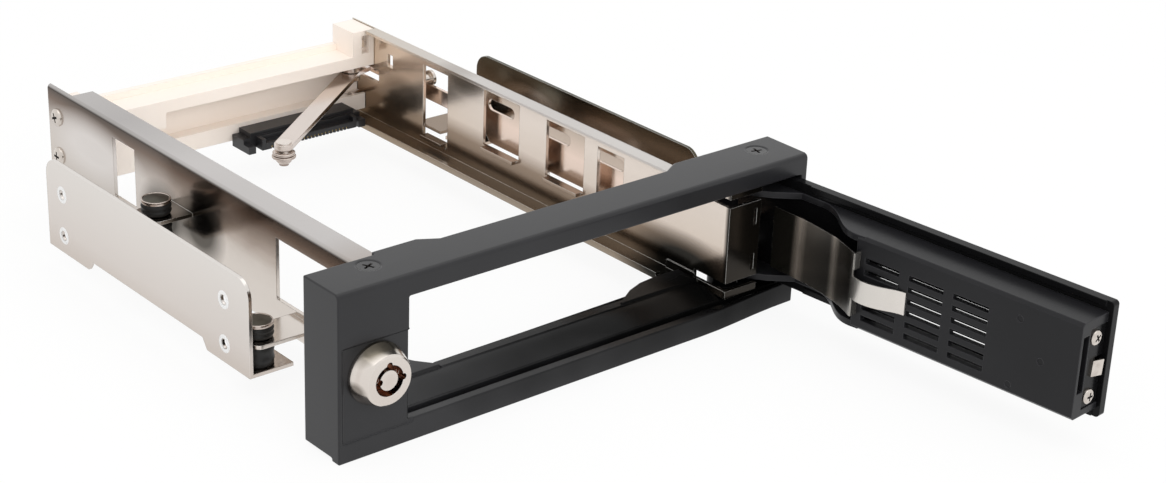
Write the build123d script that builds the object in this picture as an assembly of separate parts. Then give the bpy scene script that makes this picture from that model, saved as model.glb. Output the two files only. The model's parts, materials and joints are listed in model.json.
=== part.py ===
from build123d import *
from math import cos, radians, sin
import os

os.makedirs("parts", exist_ok=True)

# Hard drive mobile rack for a 5.25 inch bay, in millimetres.
# X runs to the right as seen from the front, Y to the back, Z up.
# X = 0 is the bezel's middle, Y = 0 the chassis seat behind the bezel, Z = 0 its bottom.
# The door is drawn open, its rest position.

# Bay standard
side_hole_span = 146.0
side_hole_pitch = 79.24
side_hole_first_y = 36.4
side_hole_low_z = 10.0
side_hole_high_z = 21.84
side_hole_radius = 1.45

# Bezel
bezel_width = 148.5
bezel_height = 42.5
bezel_depth = 13.9
bezel_wall = 2.2
front_lip_depth = 2.9
front_lip_drop = 0.8
rail_lip = 2.7
bottom_rail_z = 5.2
floor_front_z = 5.8
floor_middle_z = 7.5
floor_rear_z = 7.8
floor_middle_y = -4.0
floor_right_inset = 24.95
groove_width = 1.4
groove_z = 4.0
tongue_gap = 0.3
tongue_thickness = 1.1
tongue_reach = 6.6
tongue_left_inset = 35.05
tongue_right_inset = 47.25
tongue_chamfer = 3.8
shelf_reach = 2.3
top_rail_drop = 5.5
top_plate = 3.0
rear_lip_drop = 5.0
rear_lip = 2.5
rear_recess = 1.5
rear_corner_reach = 1.4
recess_left_inset = 38.25
recess_right_inset = 39.05
recess_slant = 5.2
left_block_width = 19.95
end_wall = 2.0
end_wall_depth = 8.0
cheek_front_drop = 8.8
cheek_rear_drop = 7.4
edge_round = 1.2
band_depth = 0.35
band_low_z = 4.2
band_high_drop = 13.9
boss_radius = 4.0
boss_gap = 0.3
bezel_screw_y = -4.2
bezel_screw_left_inset = 15.15
bezel_screw_right_inset = 9.45
bezel_boss_radius = 3.2
screw_head_radius = 2.9
screw_head_height = 1.7
screw_radius = 1.4
screw_clearance = 0.12

# Cage sheet
sheet = 1.0
cage_left_gap = 0.5
cage_right_inset = 23.45
cage_bottom_z = 6.1
cage_top_drop = 6.1
cage_overhang = 0.6
cage_front_y = 0.4
bend_radius = 1.0
left_lip_width = 7.4
right_lip_width = 4.8
rail_width = 7.4
hem_width = 1.6
hem_height = 1.9
hem_front_y = 9.0
lip_back_gap = 0.8
left_flange_inset = 2.85
left_flange_low_z = 8.1
left_flange_drop = 2.5
left_tab_inset = 8.25
left_tab_gap = 0.4
front_tab_drop = 5.0
front_tab_reach = 8.0
right_front_y = -11.0
right_flange_inset = 13.25
right_flange_drop = 1.5
right_tab_inset = 3.25
right_tab_reach = 10.4
arm_slot_back_y = 1.0
arm_slot_gap = 0.3
lip_start_y = 3.0
rail_fold_front_y = 0.4
rail_fold_back_y = 11.5
rail_fold_height = 3.4
rail_fold_sheet = 0.4
left_windows = ((110.5, 122.0, 14.7, 4.4), (17.0, 42.5, 14.4, 5.3))
right_windows = (
    (109.0, 121.0, 8.6, 4.4),
    (75.5, 92.0, 16.0, 3.4),
    (47.0, 63.5, 16.0, 3.6),
    (30.5, 41.5, 16.0, 4.4),
    (136.4, 139.0, 26.0, 6.4),
)
shelf_inset = 1.0
shelf_depth = 1.8

# Mounting brackets and isolators
bracket_sheet = 1.0
bracket_front_reach = 11.2
bracket_back_reach = 8.16
bracket_top_z = 30.5
bracket_bottom_z = 4.9
bracket_cut_z = 7.7
bracket_cut_front_y = 46.6
bracket_cut_back_y = 101.0
bracket_corner = 5.0
bracket_lip_width = 12.5
bracket_lip_length = 11.0
isolator_inset = 5.5
isolator_front_inset = 4.8
isolator_back_inset = 5.4
isolator_radius = 4.0
isolator_neck_radius = 2.8
isolator_tab_z = 12.2
isolator_top_z = 17.6
isolator_cap_height = 1.0
isolator_stud_radius = 1.5
isolator_gap = 0.1
isolator_tab_half = 5.4
isolator_tab_inset = 0.3
isolator_tab_corner = 2.0
raised_isolator_x = 61.3
raised_isolator_y = 87.0
raised_isolator_lift = 10.6
raised_leg_drop = 7.0

# Door, drawn closed with its hinge axis at zero, then turned into place
door_axis_inset = 16.35
door_axis_y = -1.45
door_open_angle = 94.83
door_bottom_z = 6.0
door_top_gap = 6.0
door_skin = 2.2
door_end_gap = 0.44
door_rim_depth = 2.6
door_rim_wall = 1.6
door_corner = 1.0
shell_radius = 14.0
shell_wall = 2.0
shell_start_angle = -62.8
shell_end_angle = -20.0
box_bottom_z = 8.4
box_top_inset = 2.7
box_depth = 12.7
box_start = 43.76
box_end_inset = 1.1
box_wall = 1.7
box_floor = 1.8
box_chamfer = 0.8
box_seam = 0.02
slot_height = 1.55
slot_pitch = 3.16
slot_rows = 6
slot_top_inset = 5.2
slot_starts = (46.66, 60.36, 73.86)
slot_length = 10.6
face_slot_margin = 4.0
pin_mark_radius = 0.9
pin_mark_depth = 0.3
arm_thickness = 1.7
arm_boss_radius = 4.5
barrel_radius = 3.0
hinge_pin_radius = 1.5
hinge_pin_low_z = 3.5
hinge_pin_cover = 3.5
hinge_clearance = 0.05
crank_radius = 5.5
crank_pin_radius = 1.2
crank_boss_radius = 1.8
crank_low_z = 17.0
crank_high_z = 19.4
crank_pin_top_z = 23.0
barrel_break_z = 24.0
yoke_low_z = 20.2
yoke_high_z = 21.4
yoke_slack = 0.3

# Latch at the door's free end
end_plate = 1.4
end_plate_inset = 0.3
end_plate_half = 10.6
end_plate_middle_z = 20.7
end_plate_gap = 0.1
end_plate_back = 8.9
guide_length = 8.0
guide_wall = 1.4
well_length = 16.0
well_wall = 1.4
latch_z = 20.2
latch_depth = 4.0
latch_width = 3.4
latch_height = 5.0
latch_reach = 2.4
latch_length = 14.0
latch_gap = 0.05
latch_pocket_gap = 0.6
latch_spring_radius = 1.3
latch_spring_wire = 0.45
latch_spring_pitch = 1.25
latch_spring_turns = 3
door_screw_depth = 6.5
door_screw_spread = 7.75
pan_head_radius = 2.0
pan_head_height = 0.9
pan_screw_radius = 1.0

# Leaf spring on the door
leaf_thickness = 0.4
leaf_low_z = 12.6
leaf_high_z = 29.8
leaf_tongue_low_z = 17.7
leaf_tongue_high_z = 23.8
leaf_hook = 4.4
leaf_gap = 0.05

# Ejector
lever_z = 21.0
lever_thickness = 1.4
lever_width = 5.4
lever_length = 62.5
lever_open_angle = 37.5
lever_pivot_gap = 6.8
lever_pivot_inset = 6.8
lever_arm = 12.6
lever_arm_width = 4.6
lever_rivet_radius = 1.6
rivet_head_radius = 2.8
roller_stud_radius = 1.4
roller_radius = 3.0
roller_flange_radius = 3.7
roller_height = 4.6
roller_gap = 0.2
clip_radius = 2.2
clip_height = 0.8
link_gap = 2.4
link_sheet = 0.9
link_front_y = 20.0
link_wide_back_y = 97.0
link_overhang = 1.2
link_low_z = 15.5
link_high_z = 31.0
link_bar_low_z = 19.6
link_bar_high_z = 24.4
link_fold_z = 24.5
link_fold_depth = 0.7
link_slot_z = 27.4
link_slot_length = 12.0
link_slot_height = 3.4
link_slot_ys = (40.0, 63.0, 88.0)
guide_gap = 0.15
guide_radius = 1.3
guide_head_radius = 2.4
guide_head = 0.9

# Rear frame and connector
frame_depth = 10.8
frame_front_wall = 4.6
frame_back_wall = 2.0
frame_back_y = 156.8
frame_beam_low_z = 24.6
frame_beam_high_z = 28.2
frame_low_z = 9.0
frame_groove_low_z = 14.0
frame_groove_left_x = -23.0
frame_step = 5.0
frame_step_z = 20.0
frame_column = 7.6
frame_column_drop = 0.4
frame_left_column_drop = 4.0
frame_slack = 0.15
frame_crest = 2.0
cage_screw_inset = 4.2
left_screw_drop = 4.5
left_screw_low_z = 16.3
right_screw_drop = 5.4
right_screw_low_z = 13.0
column_recess_width = 2.8
column_recess_depth = 2.4
column_recess_x = 3.0
connector_width = 41.6
connector_right_gap = 7.7
connector_reach = 5.8
connector_high_z = 12.8
connector_low_z = 8.3
connector_teeth_z = 7.5
connector_seat_gap = 0.3
connector_step = 2.4
contact_pitch = 1.27
contact_count = 22
contact_width = 0.5

# Lock
lock_inset = 10.65
lock_z = 20.2
lock_base_radius = 7.9
lock_face_radius = 6.4
lock_stand = 5.5
lock_body_radius = 5.0
lock_body_back_y = 1.3
lock_bore_radius = 3.9
lock_post_radius = 2.5
lock_groove_depth = 4.0
lock_key_notch = 0.8
lock_ring_gap = 0.05
lock_panel_gap = 0.1
cam_thickness = 1.2
cam_reach = 9.0
cam_width = 6.4
cam_y = 1.8
cam_stem_radius = 2.0
nut_height = 2.4
nut_radius = 7.4
nut_gap = 0.05
front_wall = 3.0

# Values that follow from those above
front_y = -bezel_depth
half_width = bezel_width / 2
left_inner_x = -half_width + left_block_width
floor_right_x = half_width - floor_right_inset
tongue_left_x = -half_width + tongue_left_inset
tongue_right_x = half_width - tongue_right_inset
recess_left_x = -half_width + recess_left_inset
recess_right_x = half_width - recess_right_inset
top_rail_z = bezel_height - top_rail_drop
rear_lip_z = bezel_height - rear_lip_drop
cheek_front_z = bezel_height - cheek_front_drop
cheek_rear_z = bezel_height - cheek_rear_drop
plate_under_z = bezel_height - top_plate
band_y = front_y + band_depth
band_high_z = bezel_height - band_high_drop
bezel_screw_left_x = -half_width + bezel_screw_left_inset
bezel_screw_right_x = half_width - bezel_screw_right_inset
front_tab_z = bezel_height - front_tab_drop
cage_left_x = left_inner_x + cage_left_gap
cage_right_x = half_width - cage_right_inset
cage_top_z = bezel_height - cage_top_drop
cage_back_y = frame_back_y + cage_overhang
left_flange_x = -half_width + left_flange_inset
left_flange_high_z = front_tab_z - left_flange_drop
left_tab_x = -half_width + left_tab_inset
right_flange_x = half_width - right_flange_inset
right_flange_high_z = front_tab_z - right_flange_drop
right_tab_x = half_width - right_tab_inset
bracket_front_y = side_hole_first_y - bracket_front_reach
bracket_back_y = side_hole_first_y + side_hole_pitch + bracket_back_reach
side_hole_ys = (side_hole_first_y, side_hole_first_y + side_hole_pitch)
side_hole_zs = (side_hole_low_z, side_hole_high_z)
isolator_x = side_hole_span / 2 - isolator_inset
isolator_front_y = bracket_front_y + isolator_front_inset
isolator_back_y = bracket_back_y - isolator_back_inset
isolator_places = {
    "left_front": (-1, isolator_x, isolator_front_y, 0.0),
    "left_rear": (-1, raised_isolator_x, raised_isolator_y, raised_isolator_lift),
    "right_front": (1, isolator_x, isolator_front_y, 0.0),
    "right_rear": (1, isolator_x, isolator_back_y, 0.0),
}
door_axis_x = half_width - door_axis_inset
door_top_z = bezel_height - door_top_gap
door_free_end = door_axis_x - left_inner_x - door_end_gap
box_top_z = door_top_z - box_top_inset
box_end = door_free_end - box_end_inset
slot_top_z = box_top_z - slot_top_inset
hinge_pin_high_z = bezel_height - hinge_pin_cover
face_y = front_y - door_axis_y
skin_y = face_y + door_skin
box_y = face_y + box_depth
crank_half_swing = door_open_angle / 2
frame_front_y = frame_back_y - frame_depth
frame_wall_y = frame_front_y + frame_front_wall
frame_groove_y = frame_back_y - frame_back_wall
frame_left_x = cage_left_x + sheet + frame_slack
frame_right_x = cage_right_x - sheet - frame_slack
frame_column_z = cage_top_z - frame_column_drop
frame_left_column_z = cage_top_z - frame_left_column_drop
lip_back_y = frame_front_y - lip_back_gap
cage_screw_y = frame_back_y - cage_screw_inset
left_screw_zs = (frame_left_column_z - left_screw_drop, left_screw_low_z)
right_screw_zs = (frame_column_z - right_screw_drop, right_screw_low_z)
connector_right_x = cage_right_x - connector_right_gap
connector_left_x = connector_right_x - connector_width
connector_front_y = frame_front_y - connector_reach
lever_pivot_x = cage_right_x - lever_pivot_gap
lever_pivot_y = frame_back_y - lever_pivot_inset
link_x = cage_right_x + link_gap
link_back_y = frame_back_y + link_overhang
lock_x = -half_width + lock_inset


def block(x0, x1, y0, y1, z0, z1):
    """A box between two corners, given in any order."""
    size = Box(abs(x1 - x0), abs(y1 - y0), abs(z1 - z0))
    return Pos((x0 + x1) / 2, (y0 + y1) / 2, (z0 + z1) / 2) * size


def rod(x, y, z0, z1, radius):
    """An upright cylinder."""
    return Pos(x, y, (z0 + z1) / 2) * Cylinder(radius, z1 - z0)


def bar_y(x, z, y0, y1, radius):
    """A cylinder that lies along Y."""
    return Pos(x, (y0 + y1) / 2, z) * Rot(90, 0, 0) * Cylinder(radius, y1 - y0)


def bar_x(y, z, x0, x1, radius):
    """A cylinder that lies along X."""
    return Pos((x0 + x1) / 2, y, z) * Rot(0, 90, 0) * Cylinder(radius, x1 - x0)


def along_x(points, x0, x1):
    """A profile of (y, z) points drawn out from x0 to x1."""
    face = Plane.YZ.offset(x0) * make_face(Polyline(*points, close=True))
    return extrude(face, x1 - x0)


def upright(points, z0, z1):
    """A profile of (x, y) points drawn up from z0 to z1."""
    face = Plane.XY.offset(z0) * make_face(Polyline(*points, close=True))
    return extrude(face, z1 - z0)


def pill_x(y, z, length, height, x0, x1):
    """A round-ended slot along Y, cut through along X."""
    face = Plane.YZ.offset(x0) * Pos(y, z) * SlotOverall(length, height)
    return extrude(face, x1 - x0)


def flat_arm(x0, y0, x1, y1, width, z0, z1):
    """A flat bar with round ends between two points."""
    along = Vector(x1 - x0, y1 - y0)
    turn = Vector(1, 0).get_signed_angle(along, Vector(0, 0, 1))
    plate = extrude(Plane.XY.offset(z0) * SlotCenterToCenter(along.length, width), z1 - z0)
    return Pos((x0 + x1) / 2, (y0 + y1) / 2, 0) * Rot(0, 0, turn) * plate


def turned_y(points, x, z):
    """A (radius, y) profile turned about an axis along Y."""
    face = Plane.XY * make_face(Polyline(*points, close=True))
    return Pos(x, 0, z) * revolve(face, Axis.Y)


def turned_z(points, x, y):
    """A (radius, z) profile turned about an upright axis."""
    face = Plane.XZ * make_face(Polyline(*points, close=True))
    return Pos(x, y, 0) * revolve(face, Axis.Z)


# Bezel


def bezel_bottom_rail():
    """The lower rail: a lip, a groove and a floor that rises to the back."""
    lip_back = front_y + front_lip_depth
    groove_front = front_y + rail_lip
    groove_back = groove_front + groove_width
    points = [
        (groove_back, 1),
        (0, 1),
        (0, floor_rear_z),
        (floor_middle_y, floor_middle_z),
        (groove_back, floor_front_z),
    ]
    raised = along_x(points, left_inner_x - 0.5, floor_right_x)
    low = block(-half_width, half_width, front_y, 0, 0, bottom_rail_z)
    low += block(-half_width, half_width, front_y, lip_back, -front_lip_drop, 1)
    groove = block(left_inner_x, half_width - end_wall, groove_front, groove_back, groove_z, bottom_rail_z + 1)
    return low - groove + raised


def bezel_floor_tongues():
    """The floor's shelf and the two tongues that reach back over the cage's lower lips."""
    low = cage_bottom_z + sheet + tongue_gap
    high = low + tongue_thickness
    back = tongue_reach
    shelf = block(tongue_left_x + tongue_chamfer, tongue_right_x, -1, shelf_reach, bottom_rail_z, floor_rear_z)
    left = upright(
        [
            (left_inner_x + 2.2, -0.9),
            (tongue_left_x + tongue_chamfer, -0.9),
            (tongue_left_x + tongue_chamfer, 0),
            (tongue_left_x, back - 2),
            (tongue_left_x - 1, back),
            (left_inner_x + 2.2, back),
        ],
        low, high,
    )
    right = upright(
        [
            (floor_right_x, -0.9),
            (tongue_right_x - tongue_chamfer, -0.9),
            (tongue_right_x - tongue_chamfer, 0),
            (tongue_right_x + 3, back - 2.4),
            (tongue_right_x + 8, back - 0.6),
            (tongue_right_x + 13, back),
            (floor_right_x, back),
        ],
        low, high,
    )
    return shelf + left + right


def bezel_top_rail():
    """The upper plate with a lip in front and a lip behind."""
    lip_back = front_y + rail_lip - 0.2
    points = [
        (front_y, top_rail_z),
        (front_y, bezel_height - edge_round),
        (front_y + edge_round * 0.3, bezel_height - edge_round * 0.3),
        (front_y + edge_round, bezel_height),
        (-rear_recess, bezel_height),
        (-rear_recess, plate_under_z),
        (lip_back, plate_under_z),
        (lip_back, top_rail_z),
    ]
    rail = along_x(points, -half_width, half_width)
    lip = block(
        left_inner_x + 2.3, floor_right_x, -rear_recess - rear_lip, -rear_recess,
        rear_lip_z, plate_under_z + 1,
    )
    left = upright(
        [
            (-half_width, -rear_recess - 1),
            (-half_width, 0),
            (left_inner_x, 0),
            (left_inner_x, rear_corner_reach),
            (recess_left_x - recess_slant, rear_corner_reach),
            (recess_left_x, -rear_recess),
            (recess_left_x, -rear_recess - 1),
        ],
        plate_under_z, bezel_height,
    )
    right = upright(
        [
            (half_width, -rear_recess - 1),
            (half_width, rear_corner_reach),
            (recess_right_x + recess_slant, rear_corner_reach),
            (recess_right_x, -rear_recess),
            (recess_right_x, -rear_recess - 1),
        ],
        plate_under_z, bezel_height,
    )
    return rail + lip + left + right


def bezel_end_wall():
    """The right end: full height behind, only a cheek and a step in front."""
    inner = half_width - end_wall
    wall = block(inner, half_width, -end_wall_depth, rear_corner_reach, 0, bezel_height - edge_round)
    cheek = along_x(
        [
            (front_y, cheek_front_z),
            (-end_wall_depth, cheek_rear_z),
            (-end_wall_depth, bezel_height - edge_round),
            (front_y, bezel_height - edge_round),
        ],
        inner, half_width,
    )
    return wall + cheek


def screw_seat(x):
    """The room a countersunk screw takes in the top plate."""
    head = Pos(x, bezel_screw_y, bezel_height - screw_head_height / 2) * Cone(
        screw_radius + screw_clearance, screw_head_radius + screw_clearance, screw_head_height
    )
    return head + rod(x, bezel_screw_y, front_tab_z, bezel_height, screw_radius + screw_clearance)


def bezel_frame():
    """The moulded bezel in one piece."""
    body = block(-half_width, left_inner_x, front_y, 0, 0, bezel_height - edge_round)
    body += bezel_bottom_rail() + bezel_floor_tongues() + bezel_top_rail() + bezel_end_wall()
    body -= block(
        -half_width + bezel_wall, left_inner_x - bezel_wall,
        front_y + front_wall, 1, bezel_wall, plate_under_z,
    )
    body += rod(door_axis_x, door_axis_y, box_top_z + boss_gap, bezel_height - 1, boss_radius)
    body += rod(door_axis_x, door_axis_y, 1, box_bottom_z - boss_gap, boss_radius)
    for x in (bezel_screw_left_x, bezel_screw_right_x):
        body += rod(x, bezel_screw_y, front_tab_z + sheet, bezel_height - 1, bezel_boss_radius)
        body -= screw_seat(x)
    body -= rod(door_axis_x, door_axis_y, hinge_pin_low_z, hinge_pin_high_z, hinge_pin_radius)
    body -= bar_y(lock_x, lock_z, front_y - 1, 1, lock_body_radius + lock_panel_gap)
    body -= block(
        -half_width + 1.2, left_inner_x + 1, front_y - 1, band_y, band_low_z, band_high_z
    )
    pocket_y = front_y + latch_depth
    half_y = latch_width / 2 + latch_pocket_gap
    half_z = latch_height / 2 + latch_pocket_gap
    body -= block(
        left_inner_x - bezel_wall - 1, left_inner_x + 1,
        pocket_y - half_y, pocket_y + half_y, latch_z - half_z, latch_z + half_z,
    )
    return body


def bezel_screws():
    """The countersunk screws through the bezel's top into the cage's tabs."""
    screws = []
    for x in (bezel_screw_left_x, bezel_screw_right_x):
        head = Pos(x, bezel_screw_y, bezel_height - screw_head_height / 2) * Cone(
            screw_radius, screw_head_radius, screw_head_height
        )
        shank = rod(x, bezel_screw_y, front_tab_z - 1.6, bezel_height - 0.5, screw_radius)
        top = bezel_height
        cross = block(x - 1.7, x + 1.7, bezel_screw_y - 0.35, bezel_screw_y + 0.35, top - 1.0, top + 1)
        cross += block(x - 0.35, x + 0.35, bezel_screw_y - 1.7, bezel_screw_y + 1.7, top - 1.0, top + 1)
        screws.append(head + shank - cross)
    return screws


# Cage


def wall_profile(outer_x, side, lip):
    """The wall's section in X and Z with an inward lip above and below."""
    inner_x = outer_x + side * sheet
    bend = side * bend_radius
    return [
        (outer_x + side * lip, cage_top_z),
        (outer_x + bend, cage_top_z),
        (outer_x + bend * 0.3, cage_top_z - bend_radius * 0.3),
        (outer_x, cage_top_z - bend_radius),
        (outer_x, cage_bottom_z + bend_radius),
        (outer_x + bend * 0.3, cage_bottom_z + bend_radius * 0.3),
        (outer_x + bend, cage_bottom_z),
        (outer_x + side * rail_width, cage_bottom_z),
        (outer_x + side * rail_width, cage_bottom_z + sheet),
        (inner_x, cage_bottom_z + sheet),
        (inner_x, cage_top_z - sheet),
        (outer_x + side * lip, cage_top_z - sheet),
    ]


def wall_channel(outer_x, side, lip, front):
    """A side wall as a channel, its free lower edge hemmed over."""
    profile = make_face(Polyline(*wall_profile(outer_x, side, lip), close=True))
    wall = extrude(Plane.XZ.offset(-cage_back_y) * profile, cage_back_y - front)
    edge_x = outer_x + side * rail_width
    wall += block(
        edge_x - side * hem_width, edge_x, hem_front_y, cage_back_y - 2,
        cage_bottom_z, cage_bottom_z + hem_height,
    )
    inner_x = outer_x + side * sheet
    wall -= block(
        inner_x, outer_x + side * (lip + 2), lip_back_y, cage_back_y + 1,
        cage_top_z - sheet - 1, cage_top_z + 1,
    )
    return wall


def isolator_tab(outer_x, name):
    """A tab bent out of the wall that holds an isolator by its neck."""
    side, x, y, lift = isolator_places[name]
    end_x = side * (x + isolator_radius - isolator_tab_inset)
    low_z = isolator_tab_z + lift
    plate = block(
        outer_x - side * sheet / 2, end_x, y - isolator_tab_half, y + isolator_tab_half,
        low_z, low_z + sheet,
    )
    corners = plate.edges().filter_by(Axis.Z).group_by(Axis.X)[-1 if side > 0 else 0]
    plate = fillet(corners, isolator_tab_corner)
    return plate - rod(side * x, y, low_z - 1, low_z + 2, isolator_neck_radius + isolator_gap)


def window(outer_x, y0, y1, z0, drop):
    """A window through a side wall, its upper edge so far below the wall's top."""
    return block(outer_x - 2, outer_x + 2, y0, y1, z0, cage_top_z - drop)


def left_side_wall():
    """The left wall with its front flange, its screw tab and two isolator tabs."""
    wall = wall_channel(cage_left_x, 1, left_lip_width, cage_front_y)
    for y0, y1, z0, drop in left_windows:
        wall -= window(cage_left_x, y0, y1, z0, drop)
    tab_right = left_inner_x - bezel_wall - left_tab_gap
    flange_back = cage_front_y + sheet
    flange = block(
        left_flange_x, cage_left_x + sheet, cage_front_y, flange_back,
        left_flange_low_z, left_flange_high_z,
    )
    neck = block(
        left_tab_x, tab_right, cage_front_y, flange_back, left_flange_high_z - 1, front_tab_z + sheet
    )
    tab = block(
        left_tab_x, tab_right, -front_tab_reach, flange_back, front_tab_z, front_tab_z + sheet
    )
    wall += flange + neck + tab
    wall -= rod(bezel_screw_left_x, bezel_screw_y, 30, 45, screw_radius)
    wall -= bar_y(lock_x, lock_z, -1, 3, lock_body_radius + 0.4)
    for name in ("left_front", "left_rear"):
        wall += isolator_tab(cage_left_x, name)
    for z in left_screw_zs:
        wall -= bar_x(cage_screw_y, z, cage_left_x - 1, cage_left_x + 3, screw_radius)
    return wall


def arm_slots(inner_x):
    """The slots that let the door's arms through the right wall's front."""
    cuts = []
    for z0 in (box_bottom_z, box_top_z - arm_thickness):
        cuts.append(
            block(
                inner_x - 1, right_flange_x + 1, right_front_y - 1, arm_slot_back_y,
                z0 - arm_slot_gap, z0 + arm_thickness + arm_slot_gap,
            )
        )
    return cuts


def right_side_wall():
    """The right wall with its front flange, its screw tab, windows and isolator tabs."""
    wall = wall_channel(cage_right_x, -1, right_lip_width, right_front_y)
    inner_x = cage_right_x - sheet
    wall -= block(inner_x - 10, inner_x, right_front_y - 1, lip_start_y, 0, 50)
    flange_back = right_front_y + sheet
    flange = block(
        cage_right_x - sheet, right_flange_x, right_front_y, flange_back,
        cage_bottom_z, right_flange_high_z,
    )
    flange += block(
        cage_right_x + 1, right_flange_x, right_front_y, flange_back,
        right_flange_high_z - 1, front_tab_z + sheet,
    )
    tab = block(
        cage_right_x + 1, right_tab_x, right_front_y, right_front_y + right_tab_reach,
        front_tab_z, front_tab_z + sheet,
    )
    tab -= rod(door_axis_x, door_axis_y, 30, 45, boss_radius + arm_slot_gap)
    tab -= rod(bezel_screw_right_x, bezel_screw_y, 30, 45, screw_radius)
    wall += flange + tab
    for cut in arm_slots(inner_x):
        wall -= cut
    for y0, y1, z0, drop in right_windows:
        wall -= window(cage_right_x, y0, y1, z0, drop)
    for y0, y1, z0, drop in right_windows[1:4]:
        wall += block(
            inner_x - shelf_depth, inner_x, y0 + shelf_inset, y1 - shelf_inset, z0 - sheet, z0
        )
    y0, y1, z0, drop = right_windows[0]
    stop_z = z0 + 2 * sheet - 0.2
    wall += block(inner_x, cage_right_x, y0 + shelf_inset, y1 - shelf_inset, z0 - 0.6, stop_z)
    wall += block(
        inner_x - shelf_depth, inner_x, y0 + shelf_inset, y1 - shelf_inset, stop_z - sheet, stop_z
    )
    wall += block(
        inner_x - rail_fold_sheet, inner_x, rail_fold_front_y, rail_fold_back_y,
        cage_bottom_z, cage_bottom_z + rail_fold_height,
    )
    for z in (14.5, 27.5):
        wall -= block(58.6, 59.6, right_front_y - 1, right_front_y + 2, z - 2.2, z + 2.2)
    swing = sin(radians(lever_open_angle / 2))
    reach = (cage_right_x - lever_pivot_x) * swing + lever_arm_width / 2 + 2.0
    wall -= block(
        inner_x - 1, cage_right_x + 1, lever_pivot_y - reach, lever_pivot_y + reach,
        link_bar_low_z - 0.3, lever_z + lever_thickness + 0.8,
    )
    for name in ("right_front", "right_rear"):
        wall += isolator_tab(cage_right_x, name)
    for z in right_screw_zs:
        wall -= bar_x(cage_screw_y, z, inner_x - 3, cage_right_x + 1, screw_radius)
    return wall


# Brackets and isolators


def raised_lip():
    """The angle on the left bracket's inner face that carries the raised isolator."""
    side, x, y, lift = isolator_places["left_rear"]
    face = side * (side_hole_span / 2 - bracket_sheet)
    edge = side * (x - isolator_radius)
    low_z = bracket_bottom_z + lift
    y0 = y - isolator_tab_half
    y1 = y + isolator_tab_half
    lip = block(face, edge, y0, y1, low_z, low_z + bracket_sheet)
    leg = block(face, face - side * bracket_sheet, y0, y1, low_z - raised_leg_drop, low_z + bracket_sheet)
    return lip + leg


def mount_bracket(side):
    """A side bracket with the bay's screw holes and a foot under each isolator."""
    outer = side * side_hole_span / 2
    inner = outer - side * bracket_sheet
    x0, x1 = min(outer, inner), max(outer, inner)
    outline = [
        (bracket_front_y, bracket_bottom_z),
        (bracket_cut_front_y - 2, bracket_bottom_z),
        (bracket_cut_front_y, bracket_cut_z),
        (bracket_cut_back_y, bracket_cut_z),
        (bracket_cut_back_y + 2, bracket_bottom_z),
        (bracket_back_y, bracket_bottom_z),
        (bracket_back_y, bracket_top_z),
        (bracket_front_y, bracket_top_z),
    ]
    plate = along_x(outline, x0, x1)
    corners = plate.edges().filter_by(Axis.X).group_by(Axis.Z)[-1]
    plate = fillet(corners, bracket_corner)
    far = outer - side * bracket_lip_width
    starts = [bracket_front_y]
    if side > 0:
        starts.append(bracket_back_y - bracket_lip_length)
    else:
        plate += raised_lip()
    for start in starts:
        plate += block(
            outer, far, start, start + bracket_lip_length,
            bracket_bottom_z, bracket_bottom_z + bracket_sheet,
        )
    for place_side, x, y, lift in isolator_places.values():
        if place_side == side:
            plate -= rod(side * x, y, lift, lift + bracket_bottom_z + 2, isolator_stud_radius)
    for y in side_hole_ys:
        for z in side_hole_zs:
            plate -= bar_x(y, z, x0 - 1, x1 + 1, side_hole_radius)
    return plate


def isolator_bush(name):
    """A rubber bush whose neck sits in the wall's tab."""
    side, x, y, lift = isolator_places[name]
    base = bracket_bottom_z + bracket_sheet + lift
    low = isolator_tab_z - isolator_gap + lift
    high = isolator_tab_z + sheet + isolator_gap + lift
    top = isolator_top_z - isolator_cap_height + lift
    r = isolator_radius
    n = isolator_neck_radius
    profile = [
        (isolator_stud_radius, base),
        (r - 0.5, base),
        (r, base + 0.5),
        (r, low - 0.5),
        (r - 0.5, low),
        (n, low),
        (n, high),
        (r - 0.5, high),
        (r, high + 0.5),
        (r, top),
        (isolator_stud_radius, top),
    ]
    return turned_z(profile, side * x, y)


def isolator_stud(name):
    """The rivet through a bush, with a round cap above."""
    side, x, y, lift = isolator_places[name]
    top = isolator_top_z + lift
    cap = rod(side * x, y, top - isolator_cap_height, top, isolator_radius)
    cap = chamfer(cap.edges().group_by(Axis.Z)[-1], 0.3)
    return cap + rod(side * x, y, bracket_bottom_z + lift, top - 0.5, isolator_stud_radius)


# Door


def place_door(shape):
    """Turns a piece drawn closed about its axis into the open position."""
    return Pos(door_axis_x, door_axis_y, 0) * Rot(0, 0, door_open_angle) * shape


def vent_cuts(y0, y1):
    """The rows of vent slots through the door, as cutting blocks."""
    cuts = []
    for start in slot_starts:
        for row in range(slot_rows):
            z = slot_top_z - row * slot_pitch
            cuts.append(block(-start - slot_length, -start, y0, y1, z - slot_height, z))
    return cuts


def disc(radius):
    """A flat round face."""
    return make_face(CenterArc((0, 0), radius, 0, 360))


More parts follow.
